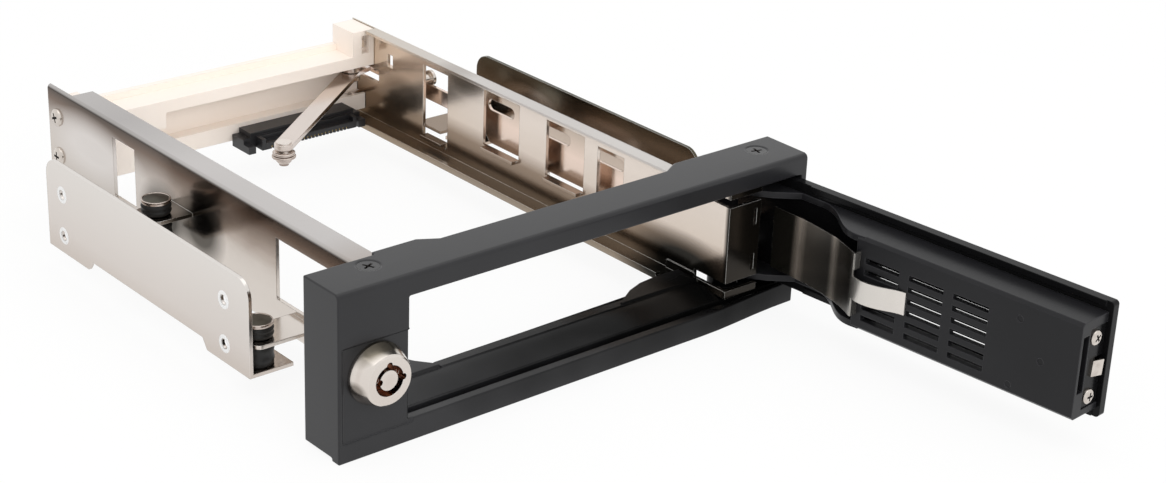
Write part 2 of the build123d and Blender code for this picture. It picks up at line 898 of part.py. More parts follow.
def door_outer_panel():
    """The face of the door with its rim, and the curved shell round the hinge."""
    start = radians(shell_start_angle)
    end = radians(shell_end_angle)
    skin = block(-door_free_end, shell_radius * cos(start), face_y, skin_y, door_bottom_z, door_top_z)
    skin = fillet(skin.edges().filter_by(Axis.Y).group_by(Axis.X)[0], door_corner)
    rim_y = face_y + door_rim_depth
    rim_end = -door_free_end + door_corner * 2
    rim_start = -box_start + 24
    skin += block(rim_end, rim_start, face_y, rim_y, door_top_z - door_rim_wall, door_top_z)
    skin += block(rim_end, rim_start, face_y, rim_y, door_bottom_z, door_bottom_z + door_rim_wall)
    ring = extrude(Plane.XY.offset(door_bottom_z) * disc(shell_radius), door_top_z - door_bottom_z)
    ring -= rod(0, 0, 0, 50, shell_radius - shell_wall)
    far = 40
    wedge = upright(
        [
            (0, 0),
            (far * cos(start), far * sin(start)),
            (far, far * sin(start)),
            (far * cos(end), far * sin(end)),
        ],
        0, 50,
    )
    skin += ring & wedge
    first = slot_starts[0] - face_slot_margin
    last = slot_starts[-1] + slot_length + face_slot_margin
    for row in range(slot_rows):
        z = slot_top_z - row * slot_pitch
        skin -= block(-last, -first, face_y - 1, skin_y + 1, z - slot_height, z)
    return skin


def arm_plate(z0, z1):
    """One of the two arms that join the box to the hinge in a hollow curve."""
    base_y = skin_y + box_seam
    edge_x = -box_start - 2
    hollow = Spline(
        (-44.76, box_y - 0.4), (-39.86, face_y + 11.9), (-29.56, face_y + 4.5), (-22.96, face_y + 2.75)
    )
    outline = [
        Line((edge_x, base_y), (edge_x, box_y - 0.4)),
        Line((edge_x, box_y - 0.4), hollow @ 0),
        hollow,
        Line(hollow @ 1, (-17.0, skin_y + 0.6)),
        Line((-17.0, skin_y + 0.6), (-11.6, face_y + 8.0)),
        Line((-11.6, face_y + 8.0), (-arm_boss_radius, 0)),
        ThreePointArc((-arm_boss_radius, 0), (0, arm_boss_radius), (arm_boss_radius, 0)),
        Line((arm_boss_radius, 0), (arm_boss_radius, base_y)),
        Line((arm_boss_radius, base_y), (edge_x, base_y)),
    ]
    return extrude(Plane.XY.offset(z0) * make_face(outline), z1 - z0)


def door_end_pads():
    """The two pads inside the box that the end plate is screwed to."""
    x0 = -box_end + end_plate_inset + end_plate
    pads = []
    for z in (end_plate_middle_z - door_screw_spread, end_plate_middle_z + door_screw_spread):
        pad = block(x0, -box_end + well_length + 0.2, face_y + 4.6, face_y + 9.1, z - 2.2, z + 2.2)
        pads.append(pad - bar_x(face_y + door_screw_depth, z, x0 - 1, x0 + 6, pan_screw_radius))
    return pads


def door_crank():
    """The crank on the barrel with the pin that drives the link bar."""
    turn = radians(crank_half_swing - door_open_angle)
    pin_x = crank_radius * cos(turn)
    pin_y = crank_radius * sin(turn)
    web = flat_arm(0, 0, pin_x, pin_y, crank_boss_radius * 2, crank_low_z, crank_high_z)
    return web + rod(pin_x, pin_y, crank_low_z, crank_pin_top_z, crank_pin_radius)


def door_inner_box():
    """The hollow box on the door's back with its arms, barrel and crank."""
    box = block(-box_end, -box_start, skin_y + box_seam, box_y, box_bottom_z, box_top_z)
    box = chamfer(box.edges().filter_by(Axis.X).group_by(Axis.Y)[-1], box_chamfer)
    box -= block(
        -box_end + well_length + well_wall, -box_start + 3, skin_y - 1, box_y - box_floor,
        box_bottom_z + box_wall, box_top_z - box_wall,
    )
    box -= block(
        -box_end - 1, -box_end + well_length, skin_y - 1, face_y + 9.0,
        end_plate_middle_z - end_plate_half, end_plate_middle_z + end_plate_half,
    )
    for pad in door_end_pads():
        box += pad
    for cut in vent_cuts(skin_y - 1, box_y + 1):
        box -= cut
    box += arm_plate(box_top_z - arm_thickness, box_top_z)
    box += arm_plate(box_bottom_z, box_bottom_z + arm_thickness)
    box += rod(0, 0, box_bottom_z + arm_thickness, crank_high_z, barrel_radius)
    box += rod(0, 0, barrel_break_z, box_top_z - arm_thickness, barrel_radius)
    box += door_crank()
    box -= rod(0, 0, 0, 50, hinge_pin_radius + hinge_clearance)
    box -= block(-box_end - 1, -box_end + 1.6, face_y + 9.4, face_y + 11.8, 15.0, 30.0)
    for start, z in ((93.36, 28.9), (92.06, 10.9), (100.26, 20.1)):
        box -= bar_y(-start, z, box_y - pin_mark_depth, box_y + 1, pin_mark_radius)
    return box


def door_end_plate():
    """The screwed plate at the free end with the latch bolt's guide."""
    x0 = -box_end + end_plate_inset
    y_low = skin_y + end_plate_gap
    half_y = latch_width / 2
    half_z = latch_height / 2
    bolt_y = face_y + latch_depth
    plate = block(
        x0, x0 + end_plate, y_low, face_y + end_plate_back,
        end_plate_middle_z - end_plate_half + end_plate_gap,
        end_plate_middle_z + end_plate_half - end_plate_gap,
    )
    plate += block(
        x0, x0 + guide_length, y_low, bolt_y + half_y + guide_wall,
        latch_z - half_z - guide_wall, latch_z + half_z + guide_wall,
    )
    plate -= block(
        x0 - 1, x0 + guide_length + 1, bolt_y - half_y - latch_gap, bolt_y + half_y + latch_gap,
        latch_z - half_z - latch_gap, latch_z + half_z + latch_gap,
    )
    for z in (end_plate_middle_z - door_screw_spread, end_plate_middle_z + door_screw_spread):
        plate -= bar_x(face_y + door_screw_depth, z, x0 - 1, x0 + 9, pan_screw_radius)
    return plate


def latch_bolt():
    """The sprung bolt with a bevelled nose and a collar behind the guide."""
    x0 = -box_end - latch_reach
    y0 = face_y + latch_depth - latch_width / 2
    nose = upright(
        [
            (x0 + latch_length, y0),
            (x0, y0),
            (x0, y0 + 0.9),
            (x0 + 2.2, y0 + latch_width),
            (x0 + latch_length, y0 + latch_width),
        ],
        latch_z - latch_height / 2, latch_z + latch_height / 2,
    )
    collar_x = -box_end + end_plate_inset + guide_length + 0.1
    collar = block(
        collar_x, collar_x + 1.4, y0 + 0.2, y0 + latch_width + 0.8,
        latch_z - latch_height / 2 - 1.0, latch_z + latch_height / 2 + 1.0,
    )
    return nose + collar


def latch_spring():
    """The coil spring behind the bolt."""
    x0 = -box_end - latch_reach + latch_length + latch_spring_wire / 2 + 0.1
    path = Helix(latch_spring_pitch, latch_spring_pitch * latch_spring_turns, latch_spring_radius)
    wire = Plane(origin=path @ 0, z_dir=path % 0) * disc(latch_spring_wire / 2)
    coil = sweep(wire, path, is_frenet=True)
    return Pos(x0, face_y + latch_depth, latch_z) * Rot(0, 90, 0) * coil


def pan_screw(x, y, z):
    """A pan-head screw that looks towards -X, with a cross recess."""
    head = bar_x(y, z, x - pan_head_height, x, pan_head_radius)
    head = fillet(head.edges().group_by(Axis.X)[0], 0.5)
    shank = bar_x(y, z, x, x + 6.0, pan_screw_radius)
    cross = block(x - 1, x - 0.4, y - 1.1, y + 1.1, z - 0.25, z + 0.25)
    cross += block(x - 1, x - 0.4, y - 0.25, y + 0.25, z - 1.1, z + 1.1)
    return head + shank - cross


def door_screws():
    """The two screws of the end plate."""
    x = -box_end + end_plate_inset
    y = face_y + door_screw_depth
    lower = pan_screw(x, y, end_plate_middle_z - door_screw_spread)
    upper = pan_screw(x, y, end_plate_middle_z + door_screw_spread)
    return [lower, upper]


def leaf_spring():
    """A wide leaf from the arms' hollow over the box's edge, with a narrow tongue."""
    leaf = Spline(
        (-12.26, face_y + 7.3), (-17.71, face_y + 7.7), (-32.36, face_y + 9.95),
        (-41.26, face_y + 13.0), (-44.96, face_y + 15.0),
    )
    wide = leaf_high_z - leaf_low_z
    body = extrude(Plane.XY.offset(leaf_low_z) * trace(leaf, line_width=leaf_thickness), wide)
    lift = box_y + leaf_gap + leaf_thickness / 2
    tongue = Spline(
        (-44.8, face_y + 14.95), (-48.8, face_y + 16.0), (-53.6, face_y + 15.2),
        (-57.8, lift + 0.5), (-60.2, lift),
    )
    narrow = leaf_tongue_high_z - leaf_tongue_low_z
    body += extrude(Plane.XY.offset(leaf_tongue_low_z) * trace(tongue, line_width=leaf_thickness), narrow)
    for z0 in (leaf_low_z, leaf_high_z - leaf_hook):
        body += block(-45.25, -44.75, box_y + leaf_gap, face_y + 15.05, z0, z0 + leaf_hook)
    return body


def hinge_pin():
    """The pin through the bezel's bosses and the door's barrel."""
    return rod(door_axis_x, door_axis_y, hinge_pin_low_z, hinge_pin_high_z, hinge_pin_radius)


# Ejector

rest_angle = radians(180 + lever_open_angle)
arm_angle = radians(lever_open_angle / 2)
arm_tip_x = lever_pivot_x + lever_arm * cos(arm_angle)
arm_tip_y = lever_pivot_y + lever_arm * sin(arm_angle)
roller_x = lever_pivot_x + lever_length * cos(rest_angle)
roller_y = lever_pivot_y + lever_length * sin(rest_angle)


def ejector_lever():
    """The lever with the roller's stud on its long arm and a drive pin on the short one."""
    high = lever_z + lever_thickness
    lever = flat_arm(lever_pivot_x, lever_pivot_y, roller_x, roller_y, lever_width, lever_z, high)
    lever += flat_arm(
        lever_pivot_x, lever_pivot_y, arm_tip_x, arm_tip_y, lever_arm_width, lever_z, high
    )
    lever -= rod(lever_pivot_x, lever_pivot_y, 0, 40, lever_rivet_radius + hinge_clearance)
    lever += rod(roller_x, roller_y, lever_z - roller_height - roller_gap * 2, high, roller_stud_radius)
    lever += rod(roller_x, roller_y, high, high + 0.6, 2.2)
    lever += rod(arm_tip_x, arm_tip_y, link_bar_low_z - 0.6, high, crank_pin_radius)
    return lever


def ejector_roller():
    """The flanged roller that pushes on the drive's back."""
    top = lever_z - roller_gap
    bottom = top - roller_height
    bore = roller_stud_radius + hinge_clearance
    profile = [
        (bore, bottom),
        (roller_flange_radius, bottom),
        (roller_flange_radius, bottom + 0.7),
        (roller_radius, bottom + 1.2),
        (roller_radius, top - 1.2),
        (roller_flange_radius, top - 0.7),
        (roller_flange_radius, top),
        (bore, top),
    ]
    return turned_z(profile, roller_x, roller_y)


def roller_clip():
    """The round head that keeps the roller on its stud."""
    top = lever_z - roller_height - roller_gap * 2
    return rod(roller_x, roller_y, top - clip_height, top, clip_radius)


def lever_pivot_rivet():
    """The rivet under the beam that the lever turns on."""
    x = lever_pivot_x
    y = lever_pivot_y
    under = lever_z - roller_gap
    rivet = rod(x, y, under, frame_beam_high_z - 0.6, lever_rivet_radius)
    rivet += rod(x, y, under - 1.0, under, rivet_head_radius)
    return rivet + rod(x, y, lever_z + lever_thickness + roller_gap, frame_beam_low_z, rivet_head_radius)


def link_bar():
    """The sliding bar that ties the door's crank to the ejector lever."""
    x0 = link_x
    x1 = link_x + link_sheet
    wide = link_wide_back_y
    outline = [
        (link_front_y - 6.0, yoke_low_z),
        (link_front_y, link_low_z),
        (wide - 4, link_low_z),
        (wide, link_bar_low_z),
        (link_back_y, link_bar_low_z),
        (link_back_y, link_bar_low_z + 1.0),
        (link_back_y - 8.4, link_bar_low_z + 1.0),
        (link_back_y - 9.6, link_bar_high_z),
        (wide + 3, link_bar_high_z),
        (wide - 3, link_high_z),
        (link_front_y + 3, link_high_z),
        (link_front_y - 6.0, yoke_high_z),
    ]
    bar = along_x(outline, x0, x1)
    bar += along_x(
        [
            (link_front_y + 2, link_fold_z),
            (wide - 1, link_fold_z),
            (wide - 1, link_fold_z + 0.8),
            (link_front_y + 2, link_fold_z + 0.8),
        ],
        x0, x1 + link_fold_depth,
    )
    for y in link_slot_ys:
        bar -= pill_x(y, link_slot_z, link_slot_length, link_slot_height, x0 - 1, x1 + 1)
    half = radians(crank_half_swing)
    pin_near_x = door_axis_x + crank_radius * cos(half)
    pin_far_x = door_axis_x + crank_radius
    pin_y = door_axis_y + crank_radius * sin(half)
    reach = crank_pin_radius + yoke_slack
    yoke = upright(
        [
            (x0, 16.0), (x0, 11.0), (55.4, 9.9), (59.9, 7.7), (59.9, pin_y - 3.8),
            (66.0, pin_y - 3.8), (66.0, 6.2), (59.4, 10.2), (59.0, 16.0),
        ],
        yoke_low_z, yoke_high_z,
    )
    yoke -= block(
        pin_near_x - reach, pin_far_x + reach, pin_y - reach, pin_y + reach,
        yoke_low_z - 1, yoke_high_z + 1,
    )
    foot_far_x = lever_pivot_x + lever_arm
    foot = block(
        x0, foot_far_x + 3.4, link_back_y - 8.6, link_back_y, link_bar_low_z, link_bar_low_z + 1.0
    )
    foot -= block(
        arm_tip_x - reach, foot_far_x + reach, arm_tip_y - reach, arm_tip_y + reach,
        link_bar_low_z - 1, link_bar_low_z + 3,
    )
    return bar + yoke + foot


def link_guides():
    """The headed studs on the right wall that hold the link bar's edges."""
    x0 = link_x + link_sheet + guide_gap
    below = guide_radius + guide_gap
    guides = []
    spots = (
        (44.2, link_low_z - below),
        (70.0, link_low_z - below),
        (124.0, link_bar_high_z + below),
        (131.0, link_bar_low_z - below),
    )
    for y, z in spots:
        head = bar_x(y, z, x0, x0 + guide_head, guide_head_radius)
        guides.append(head + bar_x(y, z, cage_right_x, x0 + guide_head, guide_radius))
    return guides


# Rear frame and connector


def rear_frame():
    """The plastic frame across the cage's back, with a groove that takes the lever."""
    left = frame_left_x
    right = frame_right_x
    body = block(left, right, frame_wall_y, frame_back_y, frame_low_z, frame_beam_high_z)
    body += block(left, right, frame_front_y, frame_back_y, frame_beam_low_z, frame_beam_high_z)
    body += block(
        left, frame_groove_left_x - frame_step, frame_front_y, frame_back_y,
        frame_low_z, frame_beam_high_z,
    )
    body += block(
        left, frame_groove_left_x, frame_front_y, frame_back_y, frame_step_z, frame_beam_high_z
    )
    body += block(right - frame_column, right, frame_front_y, frame_back_y, frame_beam_low_z, frame_column_z)
    body += block(left, left + frame_column, frame_front_y, frame_back_y, frame_low_z, frame_left_column_z)
    body += block(
        left + frame_column - 1, right - frame_column + 1, frame_groove_y, frame_back_y,
        frame_beam_high_z - 1, frame_beam_high_z + frame_crest,
    )
    body -= block(
        frame_groove_left_x, right + 1, frame_front_y - 1, frame_groove_y,
        frame_groove_low_z, frame_beam_low_z,
    )
    body -= rod(lever_pivot_x, lever_pivot_y, 20, frame_beam_high_z - 0.6, lever_rivet_radius)
    recess_x = right - column_recess_x
    body -= block(
        recess_x - column_recess_width / 2, recess_x + column_recess_width / 2,
        frame_front_y - 1, frame_front_y + column_recess_depth,
        frame_beam_high_z + 0.6, frame_column_z - 1.6,
    )
    for z in left_screw_zs:
        body -= bar_x(cage_screw_y, z, left - 1, left + 6, screw_radius)
    for z in right_screw_zs:
        body -= bar_x(cage_screw_y, z, right - 6, right + 1, screw_radius)
    return body


def column_screw():
    """The screw head in the right column's recess."""
    y = frame_front_y + column_recess_depth
    return bar_y(frame_right_x - column_recess_x, frame_column_z - 4.6, y - 1.0, y, 1.2)


def cage_screw(x, side, z):
    """A round-headed screw through a wall; its head looks to the outside."""
    low, high = (x - 1.0, x) if side < 0 else (x, x + 1.0)
    head = bar_x(cage_screw_y, z, low, high, 2.6)
    head = fillet(head.edges().group_by(Axis.X)[0 if side < 0 else -1], 0.5)
    inner = x - side * 6.0
    shank = bar_x(cage_screw_y, z, min(x, inner), max(x, inner), screw_radius)
    mouth = x + side * 0.4
    far = x + side * 1.2
    cross = block(mouth, far, cage_screw_y - 1.4, cage_screw_y + 1.4, z - 0.3, z + 0.3)
    cross += block(mouth, far, cage_screw_y - 0.3, cage_screw_y + 0.3, z - 1.4, z + 1.4)
    return head + shank - cross


def rear_frame_screws():
    """The screws through both walls into the rear frame."""
    left = [cage_screw(cage_left_x, -1, z) for z in left_screw_zs]
    right = [cage_screw(cage_right_x, 1, z) for z in right_screw_zs]
    return left + right


def contact_spots():
    """The middle X of each contact."""
    middle = (connector_left_x + connector_right_x) / 2
    first = middle - contact_pitch * (contact_count - 1) / 2
    return [first + contact_pitch * index for index in range(contact_count)]


def sata_connector():
    """The connector's body, stepped at its ends, with a toothed lower lip."""
    x0 = connector_left_x
    x1 = connector_right_x
    front = connector_front_y
    back = frame_wall_y - connector_seat_gap
    step = connector_step
    body = block(x0 + step, x1 - step, front + 4.0, back, connector_low_z, connector_high_z)
    body += block(x0, x1, front + 4.0, back, connector_low_z, connector_high_z - 1.6)
    body += block(x0 + step + 1.6, x1 - step - 1.6, front, back, connector_low_z, connector_high_z - 1.0)
    body -= block(
        x0 + step + 2.8, x1 - step - 2.8, front - 1, front + 2.6,
        connector_high_z - 2.4, connector_high_z,
    )
    for x in (x0, x1 - step):
        body += block(x, x + step, front + 1.0, back, connector_teeth_z, connector_high_z - 3.0)
    for x in contact_spots():
        body -= block(
            x - contact_width / 2, x + contact_width / 2, front - 1, front + 3.6,
            connector_low_z - 1, connector_low_z + 0.9,
        )
    return body


def connector_contacts():
    """The row of contacts in the connector's teeth."""
    half = contact_width / 2 - 0.05
    pins = []
    for x in contact_spots():
        pins.append(
            block(
                x - half, x + half, connector_front_y + 0.3, connector_front_y + 3.6,
                connector_low_z + 0.3, connector_low_z + 0.9,
            )
        )
    return pins


# Lock


def lock_barrel():
    """The tapered head and the threaded body behind it, open for the key."""
    face = band_y - lock_stand
    seat = band_y - lock_ring_gap
    profile = [
        (lock_bore_radius, face),
        (lock_face_radius - 0.4, face),
        (lock_face_radius, face + 0.4),
        (lock_base_radius, seat - 0.8),
        (lock_base_radius, seat),
        (lock_body_radius, seat),
        (lock_body_radius, lock_body_back_y),
        (lock_bore_radius, lock_body_back_y),
    ]
    barrel = turned_y(profile, lock_x, lock_z)
    for angle in (90, 0):
        x = lock_x + lock_bore_radius * cos(radians(angle))
        z = lock_z + lock_bore_radius * sin(radians(angle))
        barrel -= bar_y(x, z, face - 1, face + 3.0, lock_key_notch)
    return barrel


def lock_cylinder():
    """The turning core: a plug with a ring groove round its centre post."""
    face = band_y - lock_stand
    core = bar_y(lock_x, lock_z, face + 0.3, lock_body_back_y, lock_bore_radius - hinge_clearance)
    groove = bar_y(lock_x, lock_z, face - 1, face + lock_groove_depth, lock_bore_radius + 1)
    groove -= bar_y(lock_x, lock_z, face - 2, face + lock_groove_depth + 1, lock_post_radius)
    core -= groove
    core -= bar_y(lock_x - lock_post_radius, lock_z, face - 1, face + 2.0, lock_key_notch)
    stem_end = cam_y + cam_thickness + 0.5
    return core + bar_y(lock_x, lock_z, lock_body_back_y - 1, stem_end, cam_stem_radius)


def lock_cam():
    """The flat cam on the core's end."""
    span = cam_reach - cam_width / 2
    face = Plane.XZ.offset(-cam_y - cam_thickness) * SlotCenterToCenter(span, cam_width)
    plate = Pos(lock_x, 0, lock_z) * Rot(0, 90, 0) * Pos(span / 2, 0, 0) * extrude(face, cam_thickness)
    return plate - bar_y(lock_x, lock_z, cam_y - 1, cam_y + 3, cam_stem_radius)


def lock_nut():
    """The hexagonal nut behind the bezel's front wall."""
    y0 = front_y + front_wall + nut_gap
    outline = Plane.XZ.offset(-y0 - nut_height) * Rot(0, 0, 30) * RegularPolygon(nut_radius, 6)
    nut = Pos(lock_x, 0, lock_z) * extrude(outline, nut_height)
    return nut - bar_y(lock_x, lock_z, y0 - 1, y0 + nut_height + 1, lock_body_radius)


def write(name, shape):
    """Writes one node's STEP file; a list becomes one file of separate solids."""
    if isinstance(shape, list):
        shape = Compound(children=[solid for piece in shape for solid in piece.solids()])
    export_step(shape, f"parts/{name}.step")


write("bezel_frame", bezel_frame())
write("bezel_screws", bezel_screws())
write("left_side_wall", left_side_wall())
write("right_side_wall", right_side_wall())
for side, side_name in ((-1, "left"), (1, "right")):
    write(f"{side_name}_mount_bracket", mount_bracket(side))
for name in isolator_places:
    write(f"{name}_isolator", isolator_bush(name))
write("isolator_studs", [isolator_stud(name) for name in isolator_places])
write("rear_frame", rear_frame())
write("rear_frame_screws", rear_frame_screws())
write("column_screw", column_screw())
write("sata_connector", sata_connector())
write("connector_contacts", connector_contacts())
write("lock_barrel", lock_barrel())
write("lock_cylinder", lock_cylinder())
write("lock_cam", lock_cam())
write("lock_nut", lock_nut())
write("hinge_pin", hinge_pin())
write("door_outer_panel", place_door(door_outer_panel()))
write("door_inner_box", place_door(door_inner_box()))
write("door_end_plate", place_door(door_end_plate()))
write("door_screws", [place_door(screw) for screw in door_screws()])
write("latch_bolt", place_door(latch_bolt()))
write("latch_spring", place_door(latch_spring()))
write("leaf_spring", place_door(leaf_spring()))
write("link_bar", link_bar())
write("link_guides", link_guides())
write("ejector_lever", ejector_lever())
write("ejector_roller", ejector_roller())
write("roller_clip", roller_clip())
write("lever_pivot_rivet", lever_pivot_rivet())
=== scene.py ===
"""Looks of a hard drive mobile rack: finishes, small parts, studio and camera.

Lengths are metres in the shared frame: X to the right seen from the front, Y to the back, Z up.
"""

import bpy
import json
import logging
from collections.abc import Callable
from dataclasses import dataclass, field
from enum import Enum
from math import cos, pi, radians, sin
from mathutils import Matrix, Vector


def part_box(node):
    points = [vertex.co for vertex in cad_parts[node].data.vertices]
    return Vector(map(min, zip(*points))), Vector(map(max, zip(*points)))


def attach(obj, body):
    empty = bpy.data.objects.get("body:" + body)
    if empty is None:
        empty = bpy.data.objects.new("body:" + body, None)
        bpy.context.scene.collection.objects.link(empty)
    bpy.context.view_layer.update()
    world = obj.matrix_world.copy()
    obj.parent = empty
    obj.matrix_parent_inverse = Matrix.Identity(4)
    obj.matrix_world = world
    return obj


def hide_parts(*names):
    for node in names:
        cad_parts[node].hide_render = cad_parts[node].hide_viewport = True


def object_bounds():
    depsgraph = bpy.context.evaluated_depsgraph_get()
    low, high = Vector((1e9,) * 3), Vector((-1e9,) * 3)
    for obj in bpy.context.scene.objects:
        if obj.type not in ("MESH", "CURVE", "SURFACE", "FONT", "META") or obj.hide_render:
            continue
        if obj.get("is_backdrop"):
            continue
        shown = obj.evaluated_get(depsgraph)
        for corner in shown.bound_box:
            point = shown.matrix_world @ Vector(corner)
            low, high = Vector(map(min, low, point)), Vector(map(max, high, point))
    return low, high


LOG = logging.getLogger("rack")
Colour = tuple[float, float, float]
Place = tuple[float, float, float]
WALL_FRONT = -0.011
WALL_BACK = 0.1574


def tint(red: int, green: int, blue: int) -> Colour:
    """A colour from a paint chart's 0 to 255 numbers.

    Args:
        red: the red number.
        green: the green number.
        blue: the blue number.

    Returns:
        The same colour as shares of light.
    """
    shares = (level / 255 for level in (red, green, blue))
    return tuple(
        share / 12.92 if share <= 0.04045 else ((share + 0.055) / 1.055) ** 2.4 for share in shares
    )


@dataclass(frozen=True)
class Fade:
    """A change of tone along a direction, in metres from start to end."""

    direction: Place
    start: float
    end: float
    stops: tuple[tuple[float, Colour], ...]
    waver: float = 0.0


@dataclass(frozen=True)
class Patch:
    """A soft-edged cloud of another tone laid over a surface; most are painted reflections and painted shade."""

    middle: Place
    reach: Place
    colour: Colour
    strength: float = 1.0


class Axis(Enum):
    """A direction in which a piece looks."""

    RIGHT = (1.0, 0.0, 0.0)
    LEFT = (-1.0, 0.0, 0.0)
    UP = (0.0, 0.0, 1.0)

    @property
    def way(self) -> Vector:
        """The direction as a vector."""
        return Vector(self.value)


class Value:
    """A socket of a material, with arithmetic that adds Math nodes."""

    def __init__(self, graph: "Graph", socket: bpy.types.NodeSocket) -> None:
        """Keeps the socket and the graph it belongs to."""
        self.graph = graph
        self.socket = socket

    def _math(self, operation: str, first: object, second: object) -> "Value":
        """Adds one Math node."""
        return self.graph.add("ShaderNodeMath", {"operation": operation}, {0: first, 1: second})

    def __add__(self, other: object) -> "Value":
        """Sum."""
        return self._math("ADD", self, other)

    def __radd__(self, other: object) -> "Value":
        """Sum with a plain number first."""
        return self._math("ADD", other, self)

    def __sub__(self, other: object) -> "Value":
        """Difference."""
        return self._math("SUBTRACT", self, other)

    def __rsub__(self, other: object) -> "Value":
        """Difference from a plain number."""
        return self._math("SUBTRACT", other, self)

    def __mul__(self, other: object) -> "Value":
        """Product."""
        return self._math("MULTIPLY", self, other)

    def __rmul__(self, other: object) -> "Value":
        """Product with a plain number first."""
        return self._math("MULTIPLY", other, self)


class Graph:
    """The node tree of one material or of the world."""

    def __init__(self, tree: bpy.types.NodeTree) -> None:
        """Starts from an empty tree."""
        self.tree = tree
        self.tree.nodes.clear()

    def add(
        self, kind: str, settings: dict | None = None, sockets: dict | None = None, output: int | str = 0
    ) -> Value:
        """Adds a node.

        Args:
            kind: the node's type.
            settings: its own settings, set first; "stops" fills a colour ramp.
            sockets: numbers, colours or values for its inputs, by name or number.
            output: which output is returned.

        Returns:
            The chosen output.
        """
        node = self.tree.nodes.new(kind)
        for name, setting in (settings or {}).items():
            if name == "stops":
                self._fill_ramp(node.color_ramp, setting)
            else:
                setattr(node, name, setting)
        for name, given in (sockets or {}).items():
            self.feed(node.inputs[name], given)
        if not node.outputs:
            return Value(self, None)
        return Value(self, node.outputs[output])

    def feed(self, socket: bpy.types.NodeSocket, given: object) -> None:
        """Links a value to an input, or sets the input's own number or colour."""
        if isinstance(given, Value):
            self.tree.links.new(given.socket, socket)
        else:
            socket.default_value = given

    def _fill_ramp(self, ramp: bpy.types.ColorRamp, stops: list[tuple[float, Colour]]) -> None:
        """Sets a ramp's stops from (position, colour) pairs."""
        while len(ramp.elements) < len(stops):
            ramp.elements.new(1.0)
        for element, (position, colour) in zip(ramp.elements, stops):
            element.position = position
            element.color = (*colour, 1.0)

    def place(self, scale: Place = (1.0, 1.0, 1.0)) -> Value:
        """Object coordinates, scaled."""
        coordinates = self.add("ShaderNodeTexCoord", output="Object")
        return self.add("ShaderNodeMapping", {}, {"Vector": coordinates, "Scale": scale})

    def vectors(
        self, operation: str, first: object, second: object = (0.0, 0.0, 0.0), output: int | str = 0
    ) -> Value:
        """One Vector Math node."""
        return self.add("ShaderNodeVectorMath", {"operation": operation}, {0: first, 1: second}, output)

    def noise(self, where: Value, scale: float, detail: float = 3.0, roughness: float = 0.5) -> Value:
        """A noise value from 0 to 1."""
        sockets = {"Vector": where, "Scale": scale, "Detail": detail, "Roughness": roughness}
        return self.add("ShaderNodeTexNoise", {}, sockets)

    def ramp(self, factor: Value, stops: list[tuple[float, Colour]]) -> Value:
        """A colour from a factor."""
        return self.add("ShaderNodeValToRGB", {"stops": stops}, {"Fac": factor})

    def spread(self, factor: Value, low: float, high: float, start: float = 0.0, end: float = 1.0) -> Value:
        """A factor between start and end laid out between low and high."""
        return self.add(
            "ShaderNodeMapRange", {"clamp": True},
            {"Value": factor, "From Min": start, "From Max": end, "To Min": low, "To Max": high},
        )

    def multiply(self, first: object, second: object) -> Value:
        """Two colours multiplied."""
        settings = {"data_type": "RGBA", "blend_type": "MULTIPLY"}
        return self.add("ShaderNodeMix", settings, {0: 1.0, 6: first, 7: second}, output=2)

    def blend(self, factor: object, first: object, second: object) -> Value:
        """Two colours mixed."""
        return self.add("ShaderNodeMix", {"data_type": "RGBA"}, {0: factor, 6: first, 7: second}, output=2)

    def bump(self, height: Value, strength: float, distance: float, edge_radius: float) -> Value:
        """A normal from a height, on rounded edges.

        Args:
            height: the height's value.
            strength: how much of the bump shows.
            distance: how high 1 is, in metres.
            edge_radius: the radius to which sharp edges look rounded.

        Returns:
            The normal.
        """
        rounded = self.add("ShaderNodeBevel", {"samples": 6}, {"Radius": edge_radius})
        sockets = {"Height": height, "Strength": strength, "Distance": distance, "Normal": rounded}
        return self.add("ShaderNodeBump", {}, sockets)

    def edge(self, radius: float) -> Value:
        """Where the edges are.

        Args:
            radius: how far from an edge it reaches.

        Returns:
            1 on edges and 0 on flats, from how far a rounded normal leans from the real one.
        """
        rounded = self.add("ShaderNodeBevel", {"samples": 6}, {"Radius": radius})
        straight = self.add("ShaderNodeNewGeometry", output="Normal")
        lean = self.vectors("DOT_PRODUCT", rounded, straight, "Value")
        return self.spread(1 - lean, 0.0, 1.0, 0.02, 0.25)

    def fade(self, where: Value, fade: Fade, waver: Value) -> Value:
        """The colour of a fade.

        Args:
            where: the coordinates.
            fade: the fade.
            waver: a value from 0 to 1 that moves the fade's place a little.

        Returns:
            The colour.
        """
        along = self.vectors("DOT_PRODUCT", where, fade.direction, "Value")
        share = self.spread(along, 0.0, 1.0, fade.start, fade.end)
        return self.ramp(share + (waver - 0.5) * fade.waver, list(fade.stops))

    def patch(self, where: Value, patch: Patch, waver: Value) -> Value:
        """How much of a patch shows.

        Args:
            where: the coordinates.
            patch: the patch.
            waver: a value from 0 to 1 that makes its rim uneven.

        Returns:
            The patch's strength in its middle and 0 outside its reach.
        """
        shift = self.vectors("SUBTRACT", where, patch.middle)
        far = self.vectors("LENGTH", self.vectors("DIVIDE", shift, patch.reach), output="Value")
        return self.spread(far + (waver - 0.5) * 0.5, patch.strength, 0.0, 0.45, 1.0)


MADE: dict["Finish", bpy.types.Material] = {}


@dataclass(frozen=True)
class Finish:
    """A surface finish; the kinds below say what it looks like."""

    name: str

    def material(self) -> bpy.types.Material:
        """The finish as a material, made once.

        Returns:
            The material.
        """
        if self not in MADE:
            made = bpy.data.materials.new(self.name)
            made.use_nodes = True
            graph = Graph(made.node_tree)
            graph.add("ShaderNodeOutputMaterial", {}, {"Surface": self.shader(graph)})
            MADE[self] = made
        return MADE[self]

    def shader(self, graph: Graph) -> Value:
        """The finish's shader."""
        raise NotImplementedError


